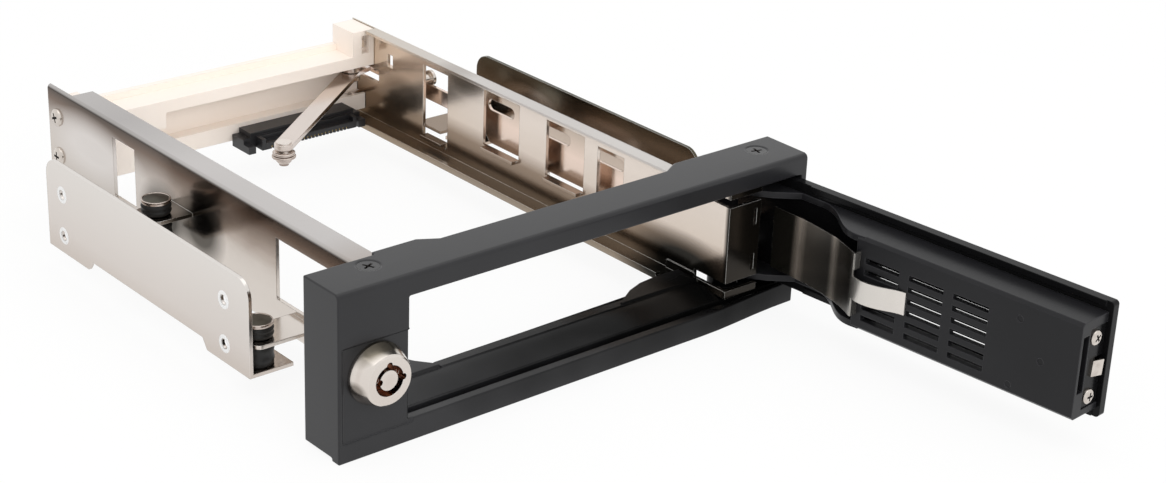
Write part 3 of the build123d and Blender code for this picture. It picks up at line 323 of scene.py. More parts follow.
@dataclass(frozen=True)
class MouldedPlastic(Finish):
    """Black moulded plastic: fine spark-eroded grain, slow cloudiness, edges painted paler as a highlight and
    patches of painted shade.
    """

    colour: Colour = (0.020, 0.020, 0.021)
    worn_and_highlight: Colour = (0.030, 0.030, 0.032)
    roughness: float = 0.34
    roughness_swing: float = 0.08
    grain: float = 0.00004
    grain_scale: float = 2600.0
    shine: float = 0.5
    edge_radius: float = 0.0004
    edge_highlight_lift: float = 0.35
    # painted shade: patches where a darker, less glossy plastic is mixed in
    painted_shade_patches: tuple[Patch, ...] = ()
    painted_shade_roughness: float = 0.16
    painted_shade_shine: float = 0.08

    def shader(self, graph: Graph) -> Value:
        """A dark shader with fine grain, slow cloudiness, edges painted paler as a highlight and painted shade
        mixed in over its patches.

        Args:
            graph: the material's node tree.

        Returns:
            The shader.
        """
        where = graph.place()
        cloud = graph.noise(where, 38.0, 2.0)
        fine = graph.noise(where, self.grain_scale, 2.0, 0.6)
        edge = graph.edge(self.edge_radius)
        colour = graph.blend(graph.spread(cloud, 0.0, 0.6, 0.35, 0.75), (*self.colour, 1), (*self.worn_and_highlight, 1))
        # painted highlight: the edges are painted paler than the flats
        colour = graph.blend(edge * self.edge_highlight_lift, colour, (*(c * 3.0 for c in self.worn_and_highlight), 1))
        rough = graph.spread(cloud, self.roughness - self.roughness_swing, self.roughness + self.roughness_swing)
        normal = graph.bump(fine, 0.35, self.grain, self.edge_radius)
        made = self._plastic(graph, colour, rough, normal, self.shine)
        # painted shade: over each patch a darker, less glossy plastic is mixed in
        for patch in self.painted_shade_patches:
            dark = (*patch.colour, 1)
            painted_shade_plastic = self._plastic(graph, dark, self.painted_shade_roughness, normal, self.painted_shade_shine)
            share = graph.patch(where, patch, cloud)
            made = graph.add("ShaderNodeMixShader", {}, {0: share, 1: made, 2: painted_shade_plastic})
        return made

    def _plastic(self, graph: Graph, colour: object, rough: object, normal: Value, shine: float) -> Value:
        """One plastic shader."""
        return graph.add(
            "ShaderNodeBsdfPrincipled", {},
            {
                "Base Color": colour, "Roughness": rough, "Normal": normal,
                "Specular IOR Level": shine, "IOR": 1.5,
            },
        )


@dataclass(frozen=True)
class PlatedSheet(Finish):
    """Polished nickel plate over rolled sheet: warm, softly mottled, with painted reflections and painted shade
    over the sheet and a painted highlight on its edges.
    """

    fades: tuple[Fade, ...] = ()
    patches: tuple[Patch, ...] = ()
    painted_edge_highlight: Colour = (0.86, 0.85, 0.82)
    tarnish: Colour = (0.10, 0.08, 0.06)
    mottle: float = 0.12
    roughness: float = 0.17
    wave: float = 0.0005
    rolling: Place = (60.0, 9.0, 60.0)
    edge_radius: float = 0.00025
    edge_highlight_share: float = 0.6
    metallic: float = 1.0

    def shader(self, graph: Graph) -> Value:
        """A metal shader whose colour carries painted reflections and painted shade over the sheet.

        Args:
            graph: the material's node tree.

        Returns:
            The shader.
        """
        where = graph.place()
        streaks = graph.noise(graph.place(self.rolling), 1.0, 3.0)
        cloud = graph.noise(where, 21.0, 2.0)
        pits = graph.noise(where, 900.0, 3.0, 0.6)
        # painted reflections and painted shade: the fades and patches set the colour over the sheet
        colour = graph.fade(where, self.fades[0], cloud)
        for further in self.fades[1:]:
            colour = graph.multiply(colour, graph.fade(where, further, cloud))
        for patch in self.patches:
            colour = graph.blend(graph.patch(where, patch, cloud), colour, (*patch.colour, 1))
        mottle = graph.spread(streaks * 0.5 + cloud * 0.5, 0.0, self.mottle, 0.35, 0.7)
        colour = graph.blend(mottle, colour, (*self.tarnish, 1))
        # painted highlight: the edges are painted bright
        edge = graph.edge(self.edge_radius)
        colour = graph.blend(edge * self.edge_highlight_share, colour, (*self.painted_edge_highlight, 1))
        rough = graph.spread(pits, self.roughness - 0.04, self.roughness + 0.07) + edge * 0.05
        normal = graph.bump(cloud + streaks * 0.5, 0.5, self.wave, self.edge_radius)
        return graph.add(
            "ShaderNodeBsdfPrincipled", {},
            {"Base Color": colour, "Roughness": rough, "Metallic": self.metallic, "Normal": normal},
        )


@dataclass(frozen=True)
class TurnedMetal(Finish):
    """Bright plated metal on turned and pressed small parts, with fine tool marks."""

    colour: Colour = (0.80, 0.78, 0.74)
    shade: Colour = (0.52, 0.49, 0.45)
    roughness: float = 0.16
    marks: float = 1400.0
    edge_radius: float = 0.00012
    edge_highlight_colour: Colour = (0.90, 0.89, 0.86)
    edge_highlight_share: float = 0.5

    def shader(self, graph: Graph) -> Value:
        """A metal shader with small scratches, darker hollows and edges painted brighter as a highlight.

        Args:
            graph: the material's node tree.

        Returns:
            The shader.
        """
        where = graph.place()
        spots = graph.noise(where, 520.0, 3.0)
        marks = graph.noise(where, self.marks, 2.0, 0.7)
        colour = graph.blend(graph.spread(spots, 0.0, 0.7, 0.4, 0.8), (*self.colour, 1), (*self.shade, 1))
        # painted highlight: the edges are painted brighter
        colour = graph.blend(graph.edge(self.edge_radius) * self.edge_highlight_share, colour, (*self.edge_highlight_colour, 1))
        return graph.add(
            "ShaderNodeBsdfPrincipled", {},
            {
                "Base Color": colour,
                "Roughness": graph.spread(marks, self.roughness - 0.05, self.roughness + 0.1),
                "Metallic": 1.0,
                "Normal": graph.bump(marks, 0.15, 0.00002, self.edge_radius),
            },
        )


@dataclass(frozen=True)
class SoftMatt(Finish):
    """Matt plastic or rubber with a fine even grain."""

    colour: Colour = (0.03, 0.03, 0.03)
    shade: Colour = (0.02, 0.02, 0.02)
    roughness: float = 0.5
    grain_scale: float = 1500.0
    grain: float = 0.00004
    edge_radius: float = 0.0002

    def shader(self, graph: Graph) -> Value:
        """A plain shader with slow tone changes and fine grain.

        Args:
            graph: the material's node tree.

        Returns:
            The shader.
        """
        where = graph.place()
        cloud = graph.noise(where, 30.0, 3.0)
        fine = graph.noise(where, self.grain_scale, 3.0, 0.6)
        colour = graph.blend(graph.spread(cloud, 0.0, 1.0, 0.3, 0.75), (*self.colour, 1), (*self.shade, 1))
        return graph.add(
            "ShaderNodeBsdfPrincipled", {},
            {
                "Base Color": colour,
                "Roughness": graph.spread(fine, self.roughness - 0.06, self.roughness + 0.08),
                "Normal": graph.bump(fine, 0.3, self.grain, self.edge_radius),
            },
        )


def upright(*stops: tuple[float, Colour], low: float = 0.006, high: float = 0.0364, waver: float = 0.0) -> Fade:
    """A fade from a sheet's foot to its top."""
    return Fade((0.0, 0.0, 1.0), low, high, stops, waver)


def lengthwise(*stops: tuple[float, Colour], waver: float = 0.0) -> Fade:
    """A fade from a wall's front to its back."""
    return Fade((0.0, 1.0, 0.0), WALL_FRONT, WALL_BACK, stops, waver)


# Bezel: a painted highlight along its edges, and two patches of painted shade, darker and less glossy, low in
# the opening and at its right end.
BEZEL_PLASTIC = MouldedPlastic(
    "bezel_plastic_satin", tint(31, 31, 33), tint(40, 40, 42), 0.3, 0.06, shine=0.34, edge_highlight_lift=0.5,
    painted_shade_patches=(
        Patch((0.044, -0.003, 0.0050), (0.100, 0.0210, 0.0120), tint(9, 9, 9)),
        Patch((0.062, -0.001, 0.020), (0.016, 0.0110, 0.0180), tint(12, 12, 12)),
    ),
)
DOOR_PLASTIC = MouldedPlastic(
    "door_plastic_gloss", tint(13, 13, 14), tint(20, 20, 21), 0.2, 0.06, 0.00002, shine=0.12, edge_radius=0.0003
)
# Door box: a strong painted highlight along its edges.
BOX_PLASTIC = MouldedPlastic(
    "door_box_plastic", tint(27, 27, 29), tint(34, 34, 36), 0.3, 0.05, 0.00003, shine=0.2, edge_radius=0.0004,
    edge_highlight_lift=0.9,
)
# Left wall: painted reflections and painted shade, a dark brown band below the top lip, a browner front end, two
# dark patches and one pale patch.
LEFT_WALL_SHEET = PlatedSheet(
    "nickel_plate_left_wall",
    fades=(
        upright(
            (0.0, tint(220, 212, 204)), (0.62, tint(214, 205, 197)), (0.88, tint(122, 104, 92)),
            (0.965, tint(84, 72, 64)),
            (0.972, tint(60, 54, 50)), (0.985, tint(172, 168, 165)), (1.0, tint(196, 192, 190)),
        ),
        lengthwise(
            (0.0, tint(205, 190, 176)), (0.2, tint(255, 255, 255)), (0.55, tint(255, 255, 255)),
            (0.8, tint(232, 232, 232)),
            (1.0, tint(245, 245, 245)), waver=0.1,
        ),
    ),
    patches=(
        Patch((-0.0510, 0.078, 0.021), (0.02, 0.013, 0.0110), tint(46, 40, 28), 0.9),
        Patch((-0.0510, 0.096, 0.018), (0.02, 0.014, 0.0105), tint(40, 36, 26), 0.95),
        Patch((-0.0510, 0.132, 0.024), (0.02, 0.030, 0.0115), tint(222, 216, 212)),
    ),
)
# Right wall: painted reflections and painted shade, darker low down, a dark front flange, a dark low patch at
# the front and brownish patches at the back.
RIGHT_WALL_SHEET = PlatedSheet(
    "nickel_plate_right_wall",
    fades=(
        upright(
            (0.0, tint(160, 148, 134)), (0.13, tint(132, 116, 100)), (0.30, tint(150, 132, 116)),
            (0.46, tint(226, 214, 204)),
            (0.8, tint(236, 226, 218)), (0.97, tint(228, 218, 210)), (0.98, tint(196, 192, 190)),
            (1.0, tint(208, 205, 203)),
        ),
        lengthwise(
            (0.0, tint(46, 46, 42)), (0.003, tint(46, 46, 42)), (0.004, tint(255, 252, 248)),
            (0.02, tint(252, 250, 247)),
            (0.6, tint(250, 248, 246)), (0.85, tint(255, 248, 238)), (1.0, tint(255, 246, 230)),
        ),
    ),
    patches=(
        Patch((0.048, 0.004, 0.010), (0.02, 0.024, 0.010), tint(24, 23, 19)),
        Patch((0.0556, -0.0110, 0.0212), (0.0160, 0.0018, 0.0450), tint(36, 33, 29)),
        Patch((0.048, 0.131, 0.019), (0.02, 0.014, 0.007), tint(96, 84, 70), 0.6),
        Patch((0.048, 0.102, 0.033), (0.02, 0.012, 0.005), tint(110, 98, 84), 0.6),
    ),
    metallic=0.86,
)
# Left bracket: painted shade, a little darker towards the bottom.
LEFT_BRACKET_SHEET = PlatedSheet(
    "nickel_plate_left_bracket",
    fades=(
        upright(
            (0.0, tint(204, 194, 186)), (0.25, tint(214, 206, 200)), (1.0, tint(222, 217, 212)), high=0.0305,
        ),
    ),
    mottle=0.05,
)
# Right bracket: painted reflections, dark towards the top, with two paler patches.
RIGHT_BRACKET_SHEET = PlatedSheet(
    "nickel_plate_right_bracket",
    fades=(
        upright(
            (0.0, tint(200, 184, 170)), (0.50, tint(206, 190, 176)), (0.62, tint(150, 134, 118)),
            (0.84, tint(112, 102, 88)),
            (1.0, tint(72, 70, 58)), high=0.0305, waver=0.12,
        ),
    ),
    patches=(
        Patch((0.073, 0.098, 0.0235), (0.02, 0.013, 0.004), tint(188, 176, 164), 0.8),
        Patch((0.073, 0.062, 0.0235), (0.02, 0.020, 0.004), tint(165, 150, 138), 0.7),
    ),
)
# Link bar: painted reflection, paler in the middle and darker towards the top.
LINK_SHEET = PlatedSheet(
    "nickel_plate_link",
    fades=(
        upright(
            (0.0, tint(228, 208, 194)), (0.5, tint(240, 218, 204)), (1.0, tint(196, 182, 168)),
            low=0.0155, high=0.031,
        ),
    ),
)
# Lever: painted shade, darker towards the bottom, and a strong painted highlight on its edges.
LEVER_SHEET = PlatedSheet(
    "nickel_plate_lever",
    fades=(
        upright(
            (0.0, tint(150, 134, 124)), (0.9, tint(218, 206, 198)), (1.0, tint(228, 218, 210)),
            low=0.016, high=0.023,
        ),
    ),
    edge_highlight_share=0.8, mottle=0.08,
)
# Leaf spring: painted reflections, bright and dark bands across the leaf.
LEAF_STEEL = PlatedSheet(
    "polished_leaf_spring",
    fades=(
        Fade(
            (0.0, -1.0, 0.0), 0.0132, 0.0615,
            (
                (0.0, tint(40, 40, 36)), (0.15, tint(50, 49, 44)), (0.20, tint(228, 214, 200)),
                (0.26, tint(118, 112, 104)),
                (0.45, tint(84, 82, 78)), (0.49, tint(206, 196, 184)), (0.54, tint(92, 88, 82)),
                (0.66, tint(60, 58, 54)),
                (0.74, tint(214, 210, 204)), (1.0, tint(228, 222, 216)),
            ),
            0.04,
        ),
    ),
    rolling=(40.0, 180.0, 6.0), roughness=0.2, wave=0.00003, edge_radius=0.00007, metallic=0.85,
)
# Coil spring: painted shade, a little darker towards the bottom.
SPRING_STEEL = PlatedSheet(
    "polished_coil_spring", fades=(upright((0.0, tint(190, 186, 180)), (1.0, tint(214, 210, 204))),)
)
# Lock: the first patch makes the middle round the groove brown; the fade and the other three patches are painted
# shade and dark painted reflections on the cone, and its edges carry a strong painted highlight.
LOCK_NICKEL = PlatedSheet(
    "turned_lock_nickel",
    fades=(upright((0.0, tint(214, 204, 196)), (1.0, tint(222, 215, 208)), low=0.012, high=0.028),),
    patches=(
        Patch((-0.0636, -0.0160, 0.0202), (0.0074, 0.0027, 0.0074), tint(128, 82, 56)),
        Patch((-0.0640, -0.0155, 0.0275), (0.0085, 0.0034, 0.0055), tint(146, 138, 124)),
        Patch((-0.0705, -0.0155, 0.0185), (0.0035, 0.0034, 0.0024), tint(128, 120, 112), 0.9),
        Patch((-0.0650, -0.0155, 0.0125), (0.0075, 0.0034, 0.0028), tint(140, 130, 122), 0.9),
    ),
    mottle=0.06, roughness=0.16, wave=0.0001, edge_radius=0.0003, edge_highlight_share=0.8,
)
RECESS_SHADE = SoftMatt("tool_recess_shade", tint(34, 28, 26), tint(18, 14, 13), 0.5)
SCREW_STEEL = TurnedMetal("nickel_plated_screws", tint(214, 206, 198), tint(176, 166, 158))
ROLLER_STEEL = TurnedMetal("nickel_plated_roller", tint(200, 188, 180), tint(160, 148, 140), 0.2)
CONTACT_GOLD = TurnedMetal("gold_plate", (0.83, 0.62, 0.26), (0.70, 0.48, 0.18), 0.2)
BLACK_SCREWS = SoftMatt("black_zinc", (0.018, 0.018, 0.019), (0.010, 0.010, 0.011), 0.22)
RUBBER = SoftMatt("ribbed_rubber", (0.009, 0.009, 0.008), (0.006, 0.006, 0.006), 0.5)
FRAME_PLASTIC = SoftMatt("cream_plastic", tint(250, 240, 231), tint(248, 236, 225), 0.42, 1200.0, 0.00003)
CONNECTOR_PLASTIC = SoftMatt("connector_black_plastic", (0.016, 0.016, 0.018), (0.010, 0.010, 0.011), 0.4)
CAP_METAL = TurnedMetal("dark_rivet_cap", tint(84, 80, 70), tint(58, 56, 48), 0.3, 900.0, edge_highlight_share=0.0)
# Hole lips: painted shade, darker than the sheet round them, with a faint painted highlight on their edges.
LIP_METAL = TurnedMetal("pressed_hole_lip", tint(140, 130, 120), tint(104, 96, 88), 0.26, edge_highlight_share=0.1)


class Bench:
    """The modelling steps that the sub-assemblies share."""

    @staticmethod
    def pick(thing: bpy.types.Object) -> None:
        """Makes one object the only selected and the active one."""
        if bpy.context.mode != "OBJECT":
            bpy.ops.object.mode_set(mode="OBJECT")
        bpy.ops.object.select_all(action="DESELECT")
        thing.select_set(True)
        bpy.context.view_layer.objects.active = thing

    @staticmethod
    def mark(thing: bpy.types.Object, wanted: Callable[[Vector], bool]) -> None:
        """Selects a mesh's vertices by their place.

        Args:
            thing: the object; it ends in object mode.
            wanted: says whether a place is selected.
        """
        Bench.pick(thing)
        bpy.ops.object.mode_set(mode="EDIT")
        bpy.ops.mesh.select_all(action="DESELECT")
        bpy.ops.mesh.select_mode(type="VERT")
        bpy.ops.object.mode_set(mode="OBJECT")
        for vertex in thing.data.vertices:
            vertex.select = wanted(vertex.co)

    @staticmethod
    def name(thing: bpy.types.Object, name: str) -> bpy.types.Object:
        """Names an object and its mesh."""
        thing.name = name
        thing.data.name = name
        return thing

    @staticmethod
    def seat(thing: bpy.types.Object) -> None:
        """Moves an object's place, turn and scale into its mesh."""
        Bench.pick(thing)
        bpy.ops.object.transform_apply(location=True, rotation=True, scale=True)

    @staticmethod
    def apply(thing: bpy.types.Object) -> None:
        """Applies an object's modifiers in order."""
        Bench.pick(thing)
        for modifier in list(thing.modifiers):
            bpy.ops.object.modifier_apply(modifier=modifier.name)

    @staticmethod
    def soften(thing: bpy.types.Object, width: float, segments: int = 2, angle: float = 32.0) -> None:
        """Rounds the sharp edges and smooths the shading.

        Args:
            thing: the object to finish.
            width: width of the round, in metres.
            segments: facets across the round.
            angle: edges sharper than this many degrees are rounded.
        """
        if width > 0:
            bevel = thing.modifiers.new("edge_round", "BEVEL")
            bevel.width = width
            bevel.segments = segments
            bevel.limit_method = "ANGLE"
            bevel.angle_limit = radians(angle)
            bevel.use_clamp_overlap = False
            bevel.miter_outer = "MITER_ARC"
        Bench.apply(thing)
        Bench.pick(thing)
        bpy.ops.object.shade_smooth_by_angle(angle=radians(angle))
        weighted = thing.modifiers.new("flat_faces", "WEIGHTED_NORMAL")
        weighted.keep_sharp = True
        weighted.mode = "FACE_AREA_WITH_ANGLE"
        Bench.apply(thing)

    @staticmethod
    def copy_node(node: str, name: str) -> bpy.types.Object:
        """A merged copy of a frame node, the triangles in one plane joined to one face.

        Args:
            node: the frame node's name.
            name: the new piece's name.

        Returns:
            The copy, at the node's place.
        """
        source = FRAME["nodes"][node]
        made = bpy.data.objects.new(name, source.data.copy())
        made.data.name = name
        made.data.materials.clear()
        bpy.context.scene.collection.objects.link(made)
        Bench.pick(made)
        bpy.ops.object.mode_set(mode="EDIT")
        bpy.ops.mesh.select_all(action="SELECT")
        bpy.ops.mesh.remove_doubles(threshold=0.000002)
        bpy.ops.mesh.dissolve_limited(angle_limit=radians(0.6))
        bpy.ops.object.mode_set(mode="OBJECT")
        return made

    @staticmethod
    def solids(node: str) -> list[tuple[Vector, Vector]]:
        """Where the solids of a frame node are.

        Args:
            node: the frame node's name.

        Returns:
            The lowest and highest corner of each solid, sorted by place.
        """
        Bench.pick(Bench.copy_node(node, "probe"))
        bpy.ops.object.mode_set(mode="EDIT")
        bpy.ops.mesh.select_all(action="SELECT")
        bpy.ops.mesh.separate(type="LOOSE")
        bpy.ops.object.mode_set(mode="OBJECT")
        corners = []
        for piece in list(bpy.context.selected_objects):
            points = [vertex.co.copy() for vertex in piece.data.vertices]
            low = Vector(min(point[i] for point in points) for i in range(3))
            high = Vector(max(point[i] for point in points) for i in range(3))
            corners.append((low, high))
            bpy.data.objects.remove(piece)
        return sorted(corners, key=lambda pair: tuple(pair[0]))

    @staticmethod
    def put(thing: bpy.types.Object, place: Vector, way: Vector, spin: float = 0.0) -> None:
        """Moves a piece made upright at the origin to its place.

        Args:
            thing: the piece.
            place: where its origin goes.
            way: where its upward direction goes.
            spin: turn about its own axis first, in degrees.
        """
        tilt = Vector((0, 0, 1)).rotation_difference(way).to_matrix().to_4x4()
        thing.matrix_world = Matrix.Translation(place) @ tilt @ Matrix.Rotation(radians(spin), 4, "Z")
        bpy.context.view_layer.update()
        Bench.seat(thing)

    @staticmethod
    def twin(
        master: bpy.types.Object, name: str, place: Vector, way: Vector, spin: float = 0.0
    ) -> bpy.types.Object:
        """A copy of a piece, with its own mesh.

        Args:
            master: the piece, upright at the origin.
            name: the copy's name.
            place: where its origin goes.
            way: where its upward direction goes.
            spin: turn about its own axis first, in degrees.

        Returns:
            The copy in its place.
        """
        made = Bench.name(bpy.data.objects.new(name, master.data.copy()), name)
        bpy.context.scene.collection.objects.link(made)
        Bench.put(made, place, way, spin)
        return made

    @staticmethod
    def put_away(*masters: bpy.types.Object) -> None:
        """Removes the pieces that were only modelled to be copied."""
        for master in masters:
            bpy.data.objects.remove(master)

    @staticmethod
    def dress(node: str, finish: Finish) -> None:
        """Gives a frame node that stays its finish."""
        for slot in FRAME["nodes"][node].material_slots:
            slot.material = finish.material()
        LOG.info("%s keeps its form, finished as %s", node, finish.name)

    @staticmethod
    def turn(name: str, steps: list[tuple[float, float]], sides: int = 40) -> bpy.types.Object:
        """A turned part, grown upwards from a disc by extruding its end and changing its radius.

        Args:
            name: the part's name.
            steps: (height, radius) from the first face to the last.
            sides: facets round it.

        Returns:
            The closed part, upright at the origin.
        """
        bpy.ops.object.select_all(action="DESELECT")
        level, radius = steps[0]
        bpy.ops.mesh.primitive_circle_add(
            vertices=sides, radius=radius, fill_type="NGON", location=(0.0, 0.0, level)
        )
        made = Bench.name(bpy.context.active_object, name)
        Bench.seat(made)
        bpy.ops.object.mode_set(mode="EDIT")
        bpy.ops.mesh.select_mode(type="FACE")
        bpy.ops.mesh.select_all(action="SELECT")
        for further, wider in steps[1:]:
            bpy.ops.mesh.extrude_region_move(TRANSFORM_OT_translate={"value": (0.0, 0.0, further - level)})
            factor = wider / radius
            bpy.ops.transform.resize(value=(factor, factor, factor), center_override=(0.0, 0.0, further))
            level, radius = further, wider
        bpy.ops.mesh.select_all(action="SELECT")
        bpy.ops.mesh.normals_make_consistent(inside=False)
        bpy.ops.object.mode_set(mode="OBJECT")
        return made

    @staticmethod
    def bar(name: str, low: Vector, high: Vector) -> bpy.types.Object:
        """A bar, to be shaped further or used as a cutter.

        Args:
            name: its name.
            low: its lowest corner.
            high: its highest corner.

        Returns:
            The bar.
        """
        bpy.ops.object.select_all(action="DESELECT")
        bpy.ops.mesh.primitive_cube_add(size=1.0, location=(low + high) / 2)
        made = Bench.name(bpy.context.active_object, name)
        made.scale = high - low
        Bench.seat(made)
        return made

    @staticmethod
    def cut(thing: bpy.types.Object, cutters: list[bpy.types.Object]) -> None:
        """Cuts a piece with others and removes them.

        Args:
            thing: the piece.
            cutters: what is cut away.
        """
        for cutter in cutters:
            Bench.pick(thing)
            hole = thing.modifiers.new("cut", "BOOLEAN")
            hole.operation = "DIFFERENCE"
            hole.solver = "EXACT"
            hole.material_mode = "TRANSFER"
            hole.object = cutter
            bpy.ops.object.modifier_apply(modifier=hole.name)
            bpy.data.objects.remove(cutter)

    @staticmethod
    def hand_over(
        thing: bpy.types.Object, body: str, finish: Finish, slot: str, nodes: tuple[str, ...] = ()
    ) -> None:
        """Dresses a finished piece and ties it to the frame.

        Args:
            thing: the piece.
            body: the body that it rides on.
            finish: its finish.
            slot: the record's material slot; not used.
            nodes: the frame nodes that it stands for.
        """
        if not thing.data.materials:
            thing.data.materials.append(finish.material())
        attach(thing, body)
        if nodes:
            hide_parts(*nodes)
        LOG.info("%s rides on %s, %d faces", thing.name, body, len(thing.data.polygons))


@dataclass
class CrossScrew:
    """A screw with a tapered cross recess, its head pan-shaped or sunk."""

    radius: float
    height: float
    crown: float
    recess: float
    slot_width: float
    recess_depth: float
    shank_radius: float
    shank: float
    sunk: bool = False
    finish: Finish = SCREW_STEEL
    first_spin: float = 0.0
    next_spin: float = 20.0
    blade_rise: float = 0.0006
    blade_taper: tuple[float, float] = (0.55, 0.7)
    edge_round: float = 0.00004

    def build(self) -> bpy.types.Object:
        """One screw, to be copied.

        Returns:
            The screw, upright, the middle of its head's top at the origin.
        """
        length = self.shank + self.height
        made = Bench.turn("screw", self._steps(length))
        made.data.materials.append(self.finish.material())
        Bench.put(made, Vector((0, 0, -length)), Axis.UP.way)
        Bench.cut(made, self._cross())
        Bench.soften(made, self.edge_round, 1, 40.0)
        return made

    def spin(self, number: int) -> float:
        """How far the recess of a screw of the set is turned, in degrees."""
        return self.first_spin + self.next_spin * number

    def _steps(self, length: float) -> list[tuple[float, float]]:
        """The outline from the shank's end to the head's top.

        Args:
            length: the whole screw's length.

        Returns:
            (height, radius) pairs.
        """
        steps = [(0.0, self.shank_radius), (self.shank, self.shank_radius)]
        if self.sunk:
            return steps + [(length - 0.0002, self.radius), (length, self.radius - 0.0001)]
        return steps + [
            (self.shank + 0.00001, self.radius),
            (length - self.crown, self.radius),
            (length - self.crown * 0.45, self.radius * 0.93),
            (length - self.crown * 0.12, self.radius * 0.76),
            (length, self.radius * 0.5),
        ]

    def _cross(self) -> list[bpy.types.Object]:
        """Two blades, narrower at their tips, that cut the recess.

        Returns:
            The blades.
        """
        half = Vector((self.recess, self.slot_width / 2, 0.0))
        tip = Vector((0, 0, -self.recess_depth))
        blade = Bench.bar("blade", tip - half, Vector((0, 0, self.blade_rise)) + half)
        blade.data.materials.append(RECESS_SHADE.material())
        Bench.mark(blade, lambda point: point.z < 0)
        bpy.ops.object.mode_set(mode="EDIT")
        bpy.ops.transform.resize(value=(*self.blade_taper, 1.0), center_override=tip)
        bpy.ops.object.mode_set(mode="OBJECT")
        crossing = Bench.twin(blade, "crossing_blade", Vector(), Axis.UP.way, 90.0)
        return [blade, crossing]


@dataclass
class Bezel:
    """The moulded bezel and its two countersunk screws."""

    screw: CrossScrew = field(
        default_factory=lambda: CrossScrew(
            radius=0.0029, height=0.0017, crown=0.0, recess=0.0019, slot_width=0.0007, recess_depth=0.0011,
            shank_radius=0.0014, shank=0.003, sunk=True, finish=BLACK_SCREWS, first_spin=25.0, next_spin=50.0,
        )
    )
    screw_drop: float = 0.0002
    edge_round: float = 0.00035
    rail_face_y: float = -0.0120
    rail_top_z: float = 0.0056
    rail_bow: tuple[tuple[float, float], ...] = (
        (0.0400, 0.00004), (0.0460, 0.00020), (0.0530, 0.00075),
        (0.0600, 0.00140), (0.0670, 0.00185), (0.07425, 0.00200),
    )
    bow_reach: float = 0.00002

    def _bow_lower_rail(self, moulding: bpy.types.Object) -> None:
        """Draws the lower rail's face back towards its right end, where the moulding is bowed."""
        Bench.pick(moulding)
        bpy.ops.object.mode_set(mode="EDIT")
        for x, _ in self.rail_bow[:-1]:
            bpy.ops.mesh.select_all(action="SELECT")
            bpy.ops.mesh.bisect(plane_co=(x, 0.0, 0.0), plane_no=(1.0, 0.0, 0.0))
        for x, back in self.rail_bow:
            Bench.mark(
                moulding,
                lambda point: abs(point.x - x) < self.bow_reach
                and point.y < self.rail_face_y and point.z < self.rail_top_z,
            )
            bpy.ops.object.mode_set(mode="EDIT")
            bpy.ops.transform.translate(value=(0.0, back, 0.0))
        bpy.ops.object.mode_set(mode="OBJECT")

    def build(self) -> None:
        """Makes the bezel's pieces."""
        moulding = Bench.copy_node("bezel_frame", "bezel_moulding")
        self._bow_lower_rail(moulding)
        Bench.soften(moulding, self.edge_round, 3)
        Bench.hand_over(moulding, "chassis", BEZEL_PLASTIC, "bezel_plastic", ("bezel_frame",))
        screw = self.screw.build()
        for number, (low, high) in enumerate(Bench.solids("bezel_screws")):
            middle = (low + high) / 2
            top = Vector((middle.x, middle.y, high.z - self.screw_drop))
            made = Bench.twin(screw, f"bezel_screw_{number + 1}", top, Axis.UP.way, self.screw.spin(number))
            Bench.hand_over(made, "chassis", BLACK_SCREWS, "black_screws", ("bezel_screws",))
        Bench.put_away(screw)


